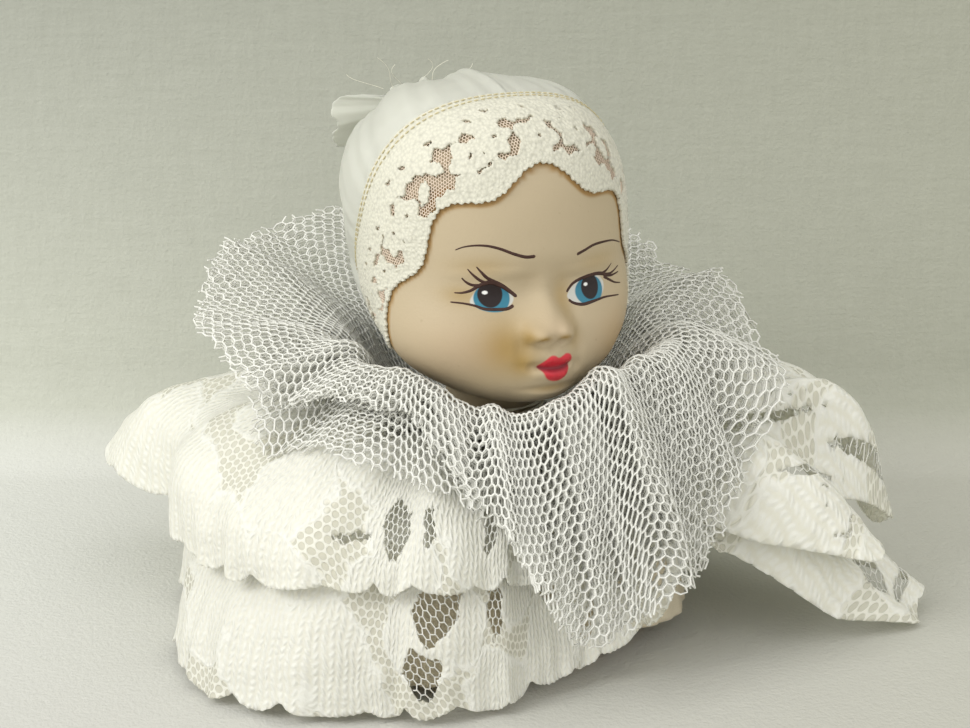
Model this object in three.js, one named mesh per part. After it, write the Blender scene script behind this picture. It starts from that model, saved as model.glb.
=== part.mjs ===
// Small ceramic doll: a hollow bisque head on a stuffed cloth body, dressed in a bonnet with a lace band,
// two gathered net ruffs, two gathered lace tiers and a plain underskirt.
// Millimetres, +Z up, the face looks along -Y, the origin is the middle of the flat underside.
import * as THREE from 'three';
import { mergeVertices } from 'three/addons/utils/BufferGeometryUtils.js';

// Shared clearances and walls
const SEAT_GAP = 0.3;
const CLOTH = 0.7;
const STACK_STEP = 1.1;
const WELD_DISTANCE = 0.001;

// Cloth body: a bag closed at the bottom, stuffed, and drawn in round the neck flange
const BODY_COLUMNS = 36;
const BODY_WALL = 0.6;
const BODY_RADIUS = 22;
const SHOULDER_HEIGHT = 35.6;
// The bag's side from its flat base to its shoulder, as a share of its radius and of the shoulder's height
const bodySideShares = [[0.86, 0], [0.97, 0.07], [1, 0.25], [0.94, 0.55], [0.79, 0.8], [0.62, 1]];

// Neck of the head: a plain collar, a tie groove and a flange that the cloth body closes round
const NECK_RADIUS = 9;
const NECK_BORE = 6.2;
const GROOVE_RADIUS = 8;
const GROOVE_CHAMFER = 0.6;
const FLANGE_RADIUS = 11.5;
const FLANGE_LIFT = 2;
const FLANGE_THICKNESS = 2.4;
const GROOVE_HEIGHT = 5.2;
const NECK_COLLAR_HEIGHT = 5.6;
const FLANGE_BOTTOM = SHOULDER_HEIGHT + FLANGE_LIFT;
const FLANGE_TOP = FLANGE_BOTTOM + FLANGE_THICKNESS;
const COLLAR_BOTTOM = FLANGE_TOP + GROOVE_HEIGHT;
const NECK_TOP = COLLAR_BOTTOM + NECK_COLLAR_HEIGHT;
const BODY_TOP = COLLAR_BOTTOM - GROOVE_CHAMFER;

// Head: a rounded box whose jaw reaches forward, closed at the crown and open at the neck
const CHIN_CLEARANCE = 1.2;
const HEAD_HALF_WIDTH = 24.6;
const FACE_HALF_DEPTH = 22.2;
const SKULL_HALF_DEPTH = 24.5;
const CROWN_HALF_HEIGHT = 28.8;
const JAW_HALF_HEIGHT = 26;
const HEAD_CENTRE_HEIGHT = NECK_TOP + CHIN_CLEARANCE + JAW_HALF_HEIGHT;
const JAW_FORWARD = 9;
const JAW_NARROWING_SHARE = 0.16;
const CROWN_ROUNDNESS = 2.9;
const JAW_ROUNDNESS = 2.6;
const HEAD_WALL = 2.8;
const HEAD_COLUMNS = 56;
const HEAD_RINGS = 30;
const CAVITY_RINGS = 9;
const FACE_CROWDING_SHARE = 0.45;
const LAST_RING_ANGLE = THREE.MathUtils.degToRad(157);
const RADIUS_HALVINGS = 40;

// Face relief: across and width are shares of the half width, up and height of the jaw's half height,
// and push of the face's half depth. It fades out at the sides of the head.
const RELIEF_FADE_SHARE = 0.35;
const faceReliefShares = [
  { across: 0, up: -0.13, width: 0.32, height: 0.13, push: -0.075 },
  { across: 0.38, up: -0.14, width: 0.2, height: 0.11, push: -0.045 },
  { across: -0.38, up: -0.14, width: 0.2, height: 0.11, push: -0.045 },
  { across: 0, up: -0.21, width: 0.07, height: 0.13, push: 0.07 },
  { across: 0, up: -0.35, width: 0.095, height: 0.085, push: 0.13 },
  { across: 0.125, up: -0.4, width: 0.065, height: 0.055, push: 0.06 },
  { across: -0.125, up: -0.4, width: 0.065, height: 0.055, push: 0.06 },
  { across: 0.6, up: -0.45, width: 0.32, height: 0.26, push: 0.075 },
  { across: -0.6, up: -0.45, width: 0.32, height: 0.26, push: 0.075 },
  { across: 0.8, up: -0.56, width: 0.2, height: 0.24, push: 0.085 },
  { across: -0.8, up: -0.56, width: 0.2, height: 0.24, push: 0.085 },
  { across: 0, up: -0.56, width: 0.12, height: 0.045, push: 0.05 },
  { across: 0, up: -0.69, width: 0.09, height: 0.04, push: 0.045 },
  { across: 0, up: -0.625, width: 0.11, height: 0.02, push: -0.03 },
  { across: 0, up: -0.86, width: 0.17, height: 0.08, push: 0.035 },
];

// Bonnet: its axis leans back from the head's middle, and its edges are angles from that axis
const BONNET_TILT = THREE.MathUtils.degToRad(36);
const BONNET_GAP = 0.5;
const BAND_CLOTH = 0.8;
const BAND_BACK_ANGLE = THREE.MathUtils.degToRad(65);
const BAND_NOTCH_ANGLE = THREE.MathUtils.degToRad(100);
const BAND_SIDE_DROP = THREE.MathUtils.degToRad(12);
const SCALLOP_DEPTH = THREE.MathUtils.degToRad(8);
const SCALLOP_PITCH = THREE.MathUtils.degToRad(44);
const BAND_END_ANGLE = THREE.MathUtils.degToRad(126);
const BAND_COLUMNS = 36;
const BAND_ROWS = 4;
const CROWN_RIM_ANGLE = THREE.MathUtils.degToRad(62);
const NAPE_RIM_ANGLE = THREE.MathUtils.degToRad(90);
const NAPE_START = THREE.MathUtils.degToRad(130);
const CROWN_PUFF = 4.4;
const CROWN_PLEATS = 9;
const CROWN_PLEAT_DEPTH = 0.6;
const CROWN_COLUMNS = 36;
const TIE_RADIUS = 3.4;
const TIE_BOTTOM = 3.4;
const TIE_TOP = 7.8;
const TAIL_FLARE = 16;
const TAIL_RISE = 12.5;
const TAIL_SAG = 3;
const TAIL_FLATNESS_SHARE = 0.85;
const TAIL_PLEAT_SHARE = 0.07;
const TAIL_TOP_TRIM_SHARE = 0.45;
// Rows of the puffed crown, as a share of the rim's angle and of the puff
const crownRowShares = [[1, 0.2], [0.86, 0.4], [0.68, 0.65], [0.45, 1], [0.22, 0.8]];
const TAIL_MIDDLE_SHARE = 0.5;

// Sewing threads
const CROWN_THREAD = 0.7;
const CROWN_THREAD_TURNS = 2.5;
const CROWN_THREAD_PITCH = 1.2;
const NECK_CORD = 0.8;
const NECK_CORD_TURNS = 2;
const NECK_CORD_PITCH = 1.25;
const RUFF_THREAD = 0.6;
const RUFF_THREAD_TURNS = 2;
const RUFF_THREAD_PITCH = 1.05;
const THREAD_SIDES = 6;
const LOOP_STEPS = 24;

// Clothes: rings of cloth gathered at the neck, laid turned to one side under the head
const CLOTHES_TURN = THREE.MathUtils.degToRad(-25);
const COLLAR_RADIUS = 10.9;
const COLLAR_REST = 1.6;
const LOWEST_COLLAR_HEIGHT = FLANGE_TOP + COLLAR_REST;
const SKIRT_YOKE = { radius: 15.5, rise: 0.2 };
const LOWER_RUFF_YOKE = { radius: 23.5, rise: 3 };
const UPPER_RUFF_YOKE = { radius: 21, rise: 3.2 };
const CLOTH_COLUMNS = 60;
const FOLD_DEPTH = 2;
const FOLD_START = 24;
const FOLD_FULL = 46;
const folds = [{ count: 11, turn: 0.6, share: 0.7 }, { count: 7, turn: 2, share: 0.3 }];
const clothRowShares = [0, 0.3, 0.48, 0.64, 0.82, 1];

// Stations round the doll, by their angle from the front of the clothes: at each, points from collar to hem,
// as a share of the reach and a share of the height
const RUFF_REACH = 60;
const RUFF_RISE = 2;
const RUFF_HEIGHT = HEAD_CENTRE_HEIGHT + RUFF_RISE;
const upperRuffShares = [
  { at: -180, outline: [[0.5, 0.775], [0.8, 0.91]] },
  { at: -150, outline: [[0.52, 0.775], [0.93, 0.95]] },
  { at: -120, outline: [[0.53, 0.775], [1, 0.94]] },
  { at: -90, outline: [[0.53, 0.765], [0.95, 0.83]] },
  { at: -60, outline: [[0.5, 0.75], [0.8, 0.7]] },
  { at: -30, outline: [[0.48, 0.73], [0.7, 0.57]] },
  { at: 0, outline: [[0.48, 0.66], [0.76, 0.36]] },
  { at: 25, outline: [[0.49, 0.68], [0.75, 0.19]] },
  { at: 55, outline: [[0.52, 0.745], [0.75, 0.26]] },
  { at: 75, outline: [[0.57, 0.76], [0.84, 0.46]] },
  { at: 90, outline: [[0.6, 0.76], [0.94, 0.64]] },
  { at: 120, outline: [[0.57, 0.77], [0.9, 0.81]] },
  { at: 150, outline: [[0.52, 0.77], [0.9, 0.9]] },
];
const lowerRuffShares = [
  { at: -180, outline: [[0.5, 0.73], [0.85, 0.67]] },
  { at: -120, outline: [[0.53, 0.73], [0.82, 0.7]] },
  { at: -90, outline: [[0.53, 0.72], [0.75, 0.735]] },
  { at: -60, outline: [[0.5, 0.7], [0.82, 0.58]] },
  { at: -30, outline: [[0.47, 0.68], [0.8, 0.45]] },
  { at: 0, outline: [[0.45, 0.61], [0.69, 0.33]] },
  { at: 25, outline: [[0.46, 0.63], [0.66, 0.26]] },
  { at: 55, outline: [[0.5, 0.7], [0.66, 0.33]] },
  { at: 75, outline: [[0.54, 0.71], [0.73, 0.54]] },
  { at: 90, outline: [[0.57, 0.71], [0.8, 0.66]] },
  { at: 120, outline: [[0.55, 0.725], [0.84, 0.66]] },
  { at: 150, outline: [[0.52, 0.73], [0.85, 0.66]] },
];
const SKIRT_REACH = 85;
const SKIRT_PUFF = 14;
const SKIRT_HEIGHT = FLANGE_TOP + SKIRT_PUFF;
const upperTierShares = [
  { at: -180, outline: [[0.4, 0.91], [0.59, 0.7], [0.65, 0.44]] },
  { at: -145, outline: [[0.42, 0.92], [0.68, 0.7], [0.76, 0.4]] },
  { at: -115, outline: [[0.44, 0.92], [0.88, 0.72], [1.06, 0.46]] },
  { at: -90, outline: [[0.47, 0.93], [0.72, 0.78], [0.74, 0.46]] },
  { at: -60, outline: [[0.41, 0.92], [0.65, 0.7], [0.68, 0.44]] },
  { at: -30, outline: [[0.33, 0.87], [0.5, 0.61], [0.54, 0.46]] },
  { at: 0, outline: [[0.28, 0.83], [0.39, 0.62], [0.42, 0.44]] },
  { at: 30, outline: [[0.27, 0.82], [0.35, 0.61], [0.37, 0.43]] },
  { at: 60, outline: [[0.29, 0.86], [0.39, 0.66], [0.42, 0.48]] },
  { at: 72, outline: [[0.33, 0.86], [0.44, 0.65], [0.48, 0.52]] },
  { at: 84, outline: [[0.41, 0.89], [0.68, 0.66], [0.88, 0.32]] },
  { at: 92, outline: [[0.42, 0.88], [0.7, 0.66], [0.84, 0.46]] },
  { at: 101, outline: [[0.44, 0.93], [0.84, 0.92], [0.99, 0.42]] },
  { at: 120, outline: [[0.43, 0.92], [0.79, 0.84], [0.87, 0.42]] },
  { at: 150, outline: [[0.41, 0.92], [0.65, 0.7], [0.72, 0.4]] },
];
const lowerTierShares = [
  { at: -180, outline: [[0.37, 0.81], [0.54, 0.49], [0.59, 0.1]] },
  { at: -120, outline: [[0.41, 0.83], [0.7, 0.45], [0.77, 0.07]] },
  { at: -90, outline: [[0.43, 0.85], [0.67, 0.43], [0.73, 0.035]] },
  { at: -60, outline: [[0.41, 0.83], [0.65, 0.4], [0.73, 0.02]] },
  { at: -30, outline: [[0.33, 0.79], [0.52, 0.37], [0.55, 0.02]] },
  { at: 0, outline: [[0.27, 0.76], [0.41, 0.37], [0.44, 0.02]] },
  { at: 25, outline: [[0.26, 0.75], [0.34, 0.34], [0.37, 0.06]] },
  { at: 50, outline: [[0.28, 0.76], [0.38, 0.4], [0.43, 0.17]] },
  { at: 72, outline: [[0.32, 0.76], [0.43, 0.56], [0.49, 0.46]] },
  { at: 78, outline: [[0.35, 0.77], [0.47, 0.52], [0.55, 0.4]] },
  { at: 84, outline: [[0.38, 0.78], [0.63, 0.48], [0.82, 0.04]] },
  { at: 90, outline: [[0.38, 0.78], [0.7, 0.46], [0.99, 0.03]] },
  { at: 96, outline: [[0.38, 0.79], [0.7, 0.45], [1.01, 0.08]] },
  { at: 103, outline: [[0.39, 0.8], [0.66, 0.43], [0.84, 0.16]] },
  { at: 112, outline: [[0.39, 0.81], [0.62, 0.45], [0.73, 0.14]] },
  { at: 130, outline: [[0.39, 0.81], [0.6, 0.46], [0.66, 0.14]] },
];
const UNDERSKIRT_REACH = 44;
const UNDERSKIRT_PUFF = 2;
const UNDERSKIRT_HEIGHT = FLANGE_TOP + UNDERSKIRT_PUFF;
const UNDERSKIRT_COLUMNS = 48;
const underskirtRowShares = [0, 0.25, 0.62, 1];
const underskirtShares = [
  { at: -180, outline: [[0.46, 0.87], [0.84, 0.43], [0.91, 0.07]] },
  { at: -105, outline: [[0.46, 0.87], [0.9, 0.43], [0.98, 0.07]] },
  { at: -60, outline: [[0.46, 0.87], [0.85, 0.43], [0.93, 0.07]] },
  { at: -30, outline: [[0.46, 0.87], [0.74, 0.43], [0.81, 0.07]] },
  { at: 0, outline: [[0.46, 0.87], [0.61, 0.43], [0.67, 0.07]] },
  { at: 30, outline: [[0.45, 0.87], [0.55, 0.43], [0.59, 0.09]] },
  { at: 60, outline: [[0.46, 0.87], [0.61, 0.43], [0.66, 0.12]] },
  { at: 95, outline: [[0.46, 0.87], [0.8, 0.43], [0.88, 0.1]] },
];

const COLOURS = {
  bisque: 0xd9c5a0,
  satin: 0xf4f4ee,
  lace: 0xf1eedd,
  net: 0xf2f1e6,
  cotton: 0xf3f2ea,
  muslin: 0xc9a78c,
  stuffing: 0xeeeae0,
  thread: 0xefece0,
};

// Rings of cloth from the lowest collar up: name, colour, yoke, reach, height and stations
const clothRings = [
  ['underskirt', COLOURS.cotton, SKIRT_YOKE, UNDERSKIRT_REACH, UNDERSKIRT_HEIGHT, underskirtShares],
  ['lace_tier_lower', COLOURS.lace, SKIRT_YOKE, SKIRT_REACH, SKIRT_HEIGHT, lowerTierShares],
  ['lace_tier_upper', COLOURS.lace, SKIRT_YOKE, SKIRT_REACH, SKIRT_HEIGHT, upperTierShares],
  ['ruff_lower', COLOURS.net, LOWER_RUFF_YOKE, RUFF_REACH, RUFF_HEIGHT, lowerRuffShares],
  ['ruff_upper', COLOURS.net, UPPER_RUFF_YOKE, RUFF_REACH, RUFF_HEIGHT, upperRuffShares],
];
const head = new THREE.Vector3(0, 0, HEAD_CENTRE_HEIGHT);
const across = new THREE.Vector3(1, 0, 0);
const bonnetAxis = new THREE.Vector3(0, Math.cos(BONNET_TILT), Math.sin(BONNET_TILT));
const bonnetUp = new THREE.Vector3(0, -Math.sin(BONNET_TILT), Math.cos(BONNET_TILT));

// Head form. A point is inside the outer face where the value is under 1.
function headMeasure(point) {
  const down = (HEAD_CENTRE_HEIGHT - point.z) / JAW_HALF_HEIGHT;
  const lower = Math.max(down, 0);
  const upper = Math.max((point.z - HEAD_CENTRE_HEIGHT) / CROWN_HALF_HEIGHT, 0);
  const round = down > 0 ? JAW_ROUNDNESS : CROWN_ROUNDNESS;
  const forward = -point.y - JAW_FORWARD * lower ** 2;
  const side = point.x / (HEAD_HALF_WIDTH * (1 - JAW_NARROWING_SHARE * lower ** 2));
  const deep = forward / (forward > 0 ? FACE_HALF_DEPTH : SKULL_HALF_DEPTH);
  return Math.hypot(side, deep) ** round + Math.max(lower, upper) ** round;
}

// The outer face's distance from the head's middle along a direction, found by halving
function headRadius(direction) {
  let near = 0;
  let far = 2 * CROWN_HALF_HEIGHT;
  for (let step = 0; step < RADIUS_HALVINGS; step++) {
    const middle = (near + far) / 2;
    const inside = headMeasure(direction.clone().multiplyScalar(middle).add(head)) < 1;
    near = inside ? middle : near;
    far = inside ? far : middle;
  }
  return near;
}

// Moves a point of the face out from the neck's axis by the relief there
function pushFace(point) {
  let relief = 0;
  for (const { across: x, up, width, height, push } of faceReliefShares) {
    const sideways = (point.x - x * HEAD_HALF_WIDTH) / (width * HEAD_HALF_WIDTH);
    const upwards = (point.z - HEAD_CENTRE_HEIGHT - up * JAW_HALF_HEIGHT) / (height * JAW_HALF_HEIGHT);
    relief += push * FACE_HALF_DEPTH * Math.exp(-(sideways ** 2 + upwards ** 2) / 2);
  }
  const fade = THREE.MathUtils.smoothstep(-point.y, 0, RELIEF_FADE_SHARE * FACE_HALF_DEPTH);
  const outward = new THREE.Vector3(point.x, point.y, 0).normalize();
  return point.addScaledVector(outward, relief * fade);
}

function headPoint(fromTop, turn, depth) {
  const direction = new THREE.Vector3(
    Math.sin(fromTop) * Math.sin(turn),
    -Math.sin(fromTop) * Math.cos(turn),
    Math.cos(fromTop),
  );
  const point = direction.clone().multiplyScalar(headRadius(direction) - depth).add(head);
  return pushFace(point);
}

// Mesh builders
function closedGeometry(points, faces) {
  const geometry = new THREE.BufferGeometry();
  geometry.setAttribute('position', new THREE.Float32BufferAttribute(points.flatMap((p) => [p.x, p.y, p.z]), 3));
  let volume = 0;
  for (const [a, b, c] of faces) {
    volume += points[a].dot(points[b].clone().cross(points[c]));
  }
  geometry.setIndex(faces.flatMap(([a, b, c]) => (volume > 0 ? [a, b, c] : [a, c, b])));
  geometry.computeVertexNormals();
  return geometry;
}

function quadFaces(a, b, c, d) {
  return [[a, b, c], [a, c, d]];
}

// Rings of equal length from one pole to the other
function ringBody(firstPole, rings, lastPole) {
  const count = rings[0].length;
  const points = [firstPole, ...rings.flat(), lastPole];
  const faces = [];
  for (let column = 0; column < count; column++) {
    const next = (column + 1) % count;
    faces.push([0, 1 + column, 1 + next]);
    for (let ring = 0; ring < rings.length - 1; ring++) {
      const here = 1 + ring * count;
      faces.push(...quadFaces(here + column, here + count + column, here + count + next, here + next));
    }
    const last = 1 + (rings.length - 1) * count;
    faces.push([last + column, points.length - 1, last + next]);
  }
  return closedGeometry(points, faces);
}

// A sheet with thickness from a grid of middle points, joined into a ring where it wraps
function sheetBody(grid, thickness, wraps) {
  const columns = grid.length;
  const rows = grid[0].length;
  const sides = [[], []];
  for (let i = 0; i < columns; i++) {
    for (let j = 0; j < rows; j++) {
      const before = wraps ? grid[(i + columns - 1) % columns][j] : grid[Math.max(i - 1, 0)][j];
      const after = wraps ? grid[(i + 1) % columns][j] : grid[Math.min(i + 1, columns - 1)][j];
      const along = after.clone().sub(before);
      const down = grid[i][Math.min(j + 1, rows - 1)].clone().sub(grid[i][Math.max(j - 1, 0)]);
      const normal = along.cross(down).setLength(thickness / 2);
      sides[0].push(grid[i][j].clone().add(normal));
      sides[1].push(grid[i][j].clone().sub(normal));
    }
  }
  const points = sides.flat();
  const under = columns * rows;
  const at = (i, j) => (i % columns) * rows + j;
  const faces = [];
  const spans = wraps ? columns : columns - 1;
  for (let i = 0; i < spans; i++) {
    for (let j = 0; j < rows - 1; j++) {
      const corners = [at(i, j), at(i + 1, j), at(i + 1, j + 1), at(i, j + 1)];
      faces.push(...quadFaces(...corners));
      faces.push(...quadFaces(...corners.map((k) => k + under).reverse()));
    }
    for (const [j, turned] of [[0, true], [rows - 1, false]]) {
      const edge = [at(i, j), at(i + 1, j), at(i + 1, j) + under, at(i, j) + under];
      faces.push(...quadFaces(...(turned ? edge.reverse() : edge)));
    }
  }
  if (!wraps) {
    for (let j = 0; j < rows - 1; j++) {
      for (const [i, turned] of [[0, false], [columns - 1, true]]) {
        const edge = [at(i, j), at(i, j + 1), at(i, j + 1) + under, at(i, j) + under];
        faces.push(...quadFaces(...(turned ? edge.reverse() : edge)));
      }
    }
  }
  return closedGeometry(points, faces);
}

function mergedGeometry(geometry) {
  geometry.deleteAttribute('normal');
  geometry.deleteAttribute('uv');
  const merged = mergeVertices(geometry, WELD_DISTANCE);
  merged.computeVertexNormals();
  return merged;
}

// A profile of radius and height turned round the Z axis
function turnedGeometry(profile) {
  return mergedGeometry(new THREE.LatheGeometry(profile, BODY_COLUMNS).rotateX(Math.PI / 2));
}

// A thread wound round the Z axis, centred on z = 0, as one unbroken tube
class WoundThread extends THREE.Curve {
  constructor(radius, pitch, turns) {
    super();
    Object.assign(this, { radius, pitch, turns });
  }

  getPoint(t, target = new THREE.Vector3()) {
    const angle = 2 * Math.PI * this.turns * t;
    return target.set(
      this.radius * Math.cos(angle),
      this.radius * Math.sin(angle),
      this.pitch * this.turns * (t - 0.5),
    );
  }
}

function leastSelfGap(curve, thickness, turns) {
  const points = curve.getPoints(LOOP_STEPS * turns);
  let least = Infinity;
  for (let i = 0; i < points.length; i++) {
    for (let j = i + LOOP_STEPS / 2; j < points.length; j++) {
      least = Math.min(least, points[i].distanceTo(points[j]));
    }
  }
  return least - thickness;
}

function woundGeometry(name, radius, thickness, pitch, turns) {
  const curve = new WoundThread(radius, pitch, turns);
  const corners = Array.from({ length: THREAD_SIDES }, (_, i) => {
    const angle = (2 * Math.PI * i) / THREAD_SIDES;
    return new THREE.Vector2(thickness / 2 * Math.cos(angle), thickness / 2 * Math.sin(angle));
  });
  console.log(`${name}: least gap to itself ${leastSelfGap(curve, thickness, turns).toFixed(2)} mm`);
  const steps = Math.round(LOOP_STEPS * turns);
  const section = new THREE.Shape(corners);
  return mergedGeometry(new THREE.ExtrudeGeometry(section, { steps, extrudePath: curve }));
}

// Head shell, outside from the crown down to the flange, then inside from the flange up
function headGeometry() {
  const turns = Array.from({ length: HEAD_COLUMNS }, (_, i) => {
    const even = (2 * Math.PI * i) / HEAD_COLUMNS;
    return even - FACE_CROWDING_SHARE * Math.sin(even);
  });
  const headRing = (fromTop, depth) => turns.map((turn) => headPoint(fromTop, turn, depth));
  const roundRing = (radius, z) => turns.map((turn) => (
    new THREE.Vector3(radius * Math.sin(turn), -radius * Math.cos(turn), z)
  ));
  const ringAngles = (count) => Array.from({ length: count }, (_, i) => LAST_RING_ANGLE * (i + 1) / count);
  const rings = [
    ...ringAngles(HEAD_RINGS).map((angle) => headRing(angle, 0)),
    roundRing(NECK_RADIUS, NECK_TOP),
    roundRing(NECK_RADIUS, COLLAR_BOTTOM),
    roundRing(GROOVE_RADIUS, COLLAR_BOTTOM - GROOVE_CHAMFER),
    roundRing(GROOVE_RADIUS, FLANGE_TOP + GROOVE_CHAMFER),
    roundRing(FLANGE_RADIUS, FLANGE_TOP),
    roundRing(FLANGE_RADIUS, FLANGE_BOTTOM),
    roundRing(NECK_BORE, FLANGE_BOTTOM),
    roundRing(NECK_BORE, NECK_TOP),
    ...ringAngles(CAVITY_RINGS).reverse().map((angle) => headRing(angle, HEAD_WALL)),
  ];
  const crown = HEAD_CENTRE_HEIGHT + CROWN_HALF_HEIGHT;
  return ringBody(new THREE.Vector3(0, 0, crown), rings, new THREE.Vector3(0, 0, crown - HEAD_WALL));
}

// Bonnet places: an angle from the bonnet's axis, an angle round it from the top, a lift off the skull
function bonnetDirection(fromAxis, round) {
  return bonnetAxis.clone().multiplyScalar(Math.cos(fromAxis))
    .addScaledVector(bonnetUp, Math.sin(fromAxis) * Math.cos(round))
    .addScaledVector(across, Math.sin(fromAxis) * Math.sin(round));
}

function bonnetPoint(fromAxis, round, lift) {
  const direction = bonnetDirection(fromAxis, round);
  return pushFace(direction.multiplyScalar(headRadius(direction) + lift).add(head));
}

function axisPoint(distance, height, round, flatness = 1) {
  return head.clone().addScaledVector(bonnetAxis, headRadius(bonnetAxis) + height)
    .addScaledVector(bonnetUp, distance * flatness * Math.cos(round))
    .addScaledVector(across, distance * Math.sin(round));
}

function bandFrontAngle(round) {
  const scallop = (1 - Math.cos((2 * Math.PI * round) / SCALLOP_PITCH)) / 2;
  const drop = Math.min((round / (Math.PI / 2)) ** 2, 1);
  return BAND_NOTCH_ANGLE + BAND_SIDE_DROP * drop + SCALLOP_DEPTH * scallop;
}

function bandGeometry() {
  const lift = BONNET_GAP + BAND_CLOTH / 2;
  const grid = Array.from({ length: BAND_COLUMNS + 1 }, (_, i) => {
    const round = BAND_END_ANGLE * (2 * i / BAND_COLUMNS - 1);
    return Array.from({ length: BAND_ROWS + 1 }, (__, j) => (
      bonnetPoint(THREE.MathUtils.lerp(BAND_BACK_ANGLE, bandFrontAngle(round), j / BAND_ROWS), round, lift)
    ));
  });
  return sheetBody(grid, BAND_CLOTH, false);
}

function crownGeometry() {
  const grid = Array.from({ length: CROWN_COLUMNS }, (_, i) => {
    const round = (2 * Math.PI * i) / CROWN_COLUMNS;
    const fromTop = Math.min(round, 2 * Math.PI - round);
    const rim = fromTop > NAPE_START ? NAPE_RIM_ANGLE : CROWN_RIM_ANGLE;
    const pleat = Math.cos(CROWN_PLEATS * round);
    const trim = 1 - TAIL_TOP_TRIM_SHARE * Math.max(Math.cos(round), 0);
    const flare = TAIL_FLARE * trim * (1 + TAIL_PLEAT_SHARE * pleat);
    const puffed = crownRowShares.map(([angleShare, puffShare]) => bonnetPoint(
      rim * angleShare,
      round,
      BONNET_GAP + CLOTH / 2 + puffShare * (CROWN_PUFF + CROWN_PLEAT_DEPTH * pleat),
    ));
    return [
      ...puffed,
      axisPoint(TIE_RADIUS, TIE_BOTTOM, round),
      axisPoint(TIE_RADIUS, TIE_TOP, round),
      axisPoint(flare * TAIL_MIDDLE_SHARE, (TIE_TOP + TAIL_RISE) / 2, round, (1 + TAIL_FLATNESS_SHARE) / 2),
      axisPoint(flare, TAIL_RISE, round, TAIL_FLATNESS_SHARE).addScaledVector(bonnetUp, -TAIL_SAG),
    ];
  });
  return sheetBody(grid, CLOTH, true);
}

function crownTieGeometry() {
  const radius = TIE_RADIUS + CLOTH / 2 + SEAT_GAP + CROWN_THREAD / 2;
  const tie = woundGeometry('crown_tie', radius, CROWN_THREAD, CROWN_THREAD_PITCH, CROWN_THREAD_TURNS);
  const middle = axisPoint(0, (TIE_BOTTOM + TIE_TOP) / 2, 0);
  const lean = new THREE.Quaternion().setFromUnitVectors(new THREE.Vector3(0, 0, 1), bonnetAxis);
  return tie.applyQuaternion(lean).translate(middle.x, middle.y, middle.z);
}

// Clothes
function splineValue(values, t) {
  const place = t * (values.length - 1);
  const span = Math.min(Math.floor(place), values.length - 2);
  const u = place - span;
  const [a, b, c, d] = [-1, 0, 1, 2].map((k) => values[THREE.MathUtils.clamp(span + k, 0, values.length - 1)]);
  return b + 0.5 * u * (c - a + u * (2 * a - 5 * b + 4 * c - d + u * (3 * (b - c) + d - a)));
}

// The outline at an angle between two stations, in degrees from the front of the clothes
function outlineShares(stations, degrees) {
  const after = stations.findIndex(({ at }) => at > degrees);
  const from = after < 0 ? stations.length - 1 : after - 1;
  const to = after < 0 ? 0 : after;
  const width = THREE.MathUtils.euclideanModulo(stations[to].at - stations[from].at, 360);
  const share = THREE.MathUtils.smoothstep(degrees, stations[from].at, stations[from].at + width);
  return stations[from].outline.map((point, i) => point.map((value, axis) => (
    THREE.MathUtils.lerp(value, stations[to].outline[i][axis], share)
  )));
}

function foldWave(turn) {
  return folds.reduce((sum, fold) => sum + fold.share * Math.cos(fold.count * turn + fold.turn), 0);
}

// One ring of cloth: its collar at a step of the stack round the neck, a level yoke beside the collar,
// and then its stations from a table of shares
function clothGeometry(layer, yoke, reach, height, stations, columns, rowShares) {
  const collar = [COLLAR_RADIUS, LOWEST_COLLAR_HEIGHT + layer * STACK_STEP];
  const yokeEnd = [yoke.radius, collar[1] + yoke.rise];
  const grid = Array.from({ length: columns }, (_, i) => {
    const degrees = (360 * i) / columns - 180;
    const turn = THREE.MathUtils.degToRad(degrees) + CLOTHES_TURN;
    const shares = outlineShares(stations, degrees);
    const outline = [
      [collar[0], yokeEnd[0], ...shares.map(([share]) => share * reach)],
      [collar[1], yokeEnd[1], ...shares.map(([, share]) => share * height)],
    ];
    const middle = rowShares.map((t) => outline.map((values) => splineValue(values, t)));
    return middle.map(([radius, z], j) => {
      const before = middle[Math.max(j - 1, 0)];
      const after = middle[Math.min(j + 1, middle.length - 1)];
      const slope = new THREE.Vector2(after[0] - before[0], after[1] - before[1]).normalize();
      const depth = FOLD_DEPTH * THREE.MathUtils.smoothstep(radius, FOLD_START, FOLD_FULL) * foldWave(turn);
      const folded = radius - slope.y * depth;
      return new THREE.Vector3(folded * Math.sin(turn), -folded * Math.cos(turn), z + slope.x * depth);
    });
  });
  return sheetBody(grid, CLOTH, true);
}

// Cloth body
function bodyProfile(inset) {
  const side = bodySideShares.map(([r, z]) => new THREE.Vector2(
    r * BODY_RADIUS - inset,
    Math.max(z * SHOULDER_HEIGHT, inset),
  ));
  return [new THREE.Vector2(0, inset), ...side];
}

function bagGeometry() {
  const pocket = FLANGE_RADIUS + SEAT_GAP;
  const inner = GROOVE_RADIUS + SEAT_GAP;
  const lid = FLANGE_TOP + SEAT_GAP;
  const outside = [
    ...bodyProfile(0),
    new THREE.Vector2(pocket + BODY_WALL, FLANGE_BOTTOM),
    new THREE.Vector2(pocket + BODY_WALL, lid + BODY_WALL),
    new THREE.Vector2(inner + BODY_WALL, lid + BODY_WALL + GROOVE_CHAMFER),
    new THREE.Vector2(inner + BODY_WALL, BODY_TOP),
  ];
  const inside = [
    ...bodyProfile(BODY_WALL),
    new THREE.Vector2(pocket, FLANGE_BOTTOM),
    new THREE.Vector2(pocket, lid),
    new THREE.Vector2(inner, lid + GROOVE_CHAMFER),
    new THREE.Vector2(inner, BODY_TOP),
  ];
  return turnedGeometry([...outside, ...inside.reverse()]);
}

function stuffingGeometry() {
  const side = bodyProfile(BODY_WALL + SEAT_GAP);
  return turnedGeometry([...side, new THREE.Vector2(0, SHOULDER_HEIGHT)]);
}

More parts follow.
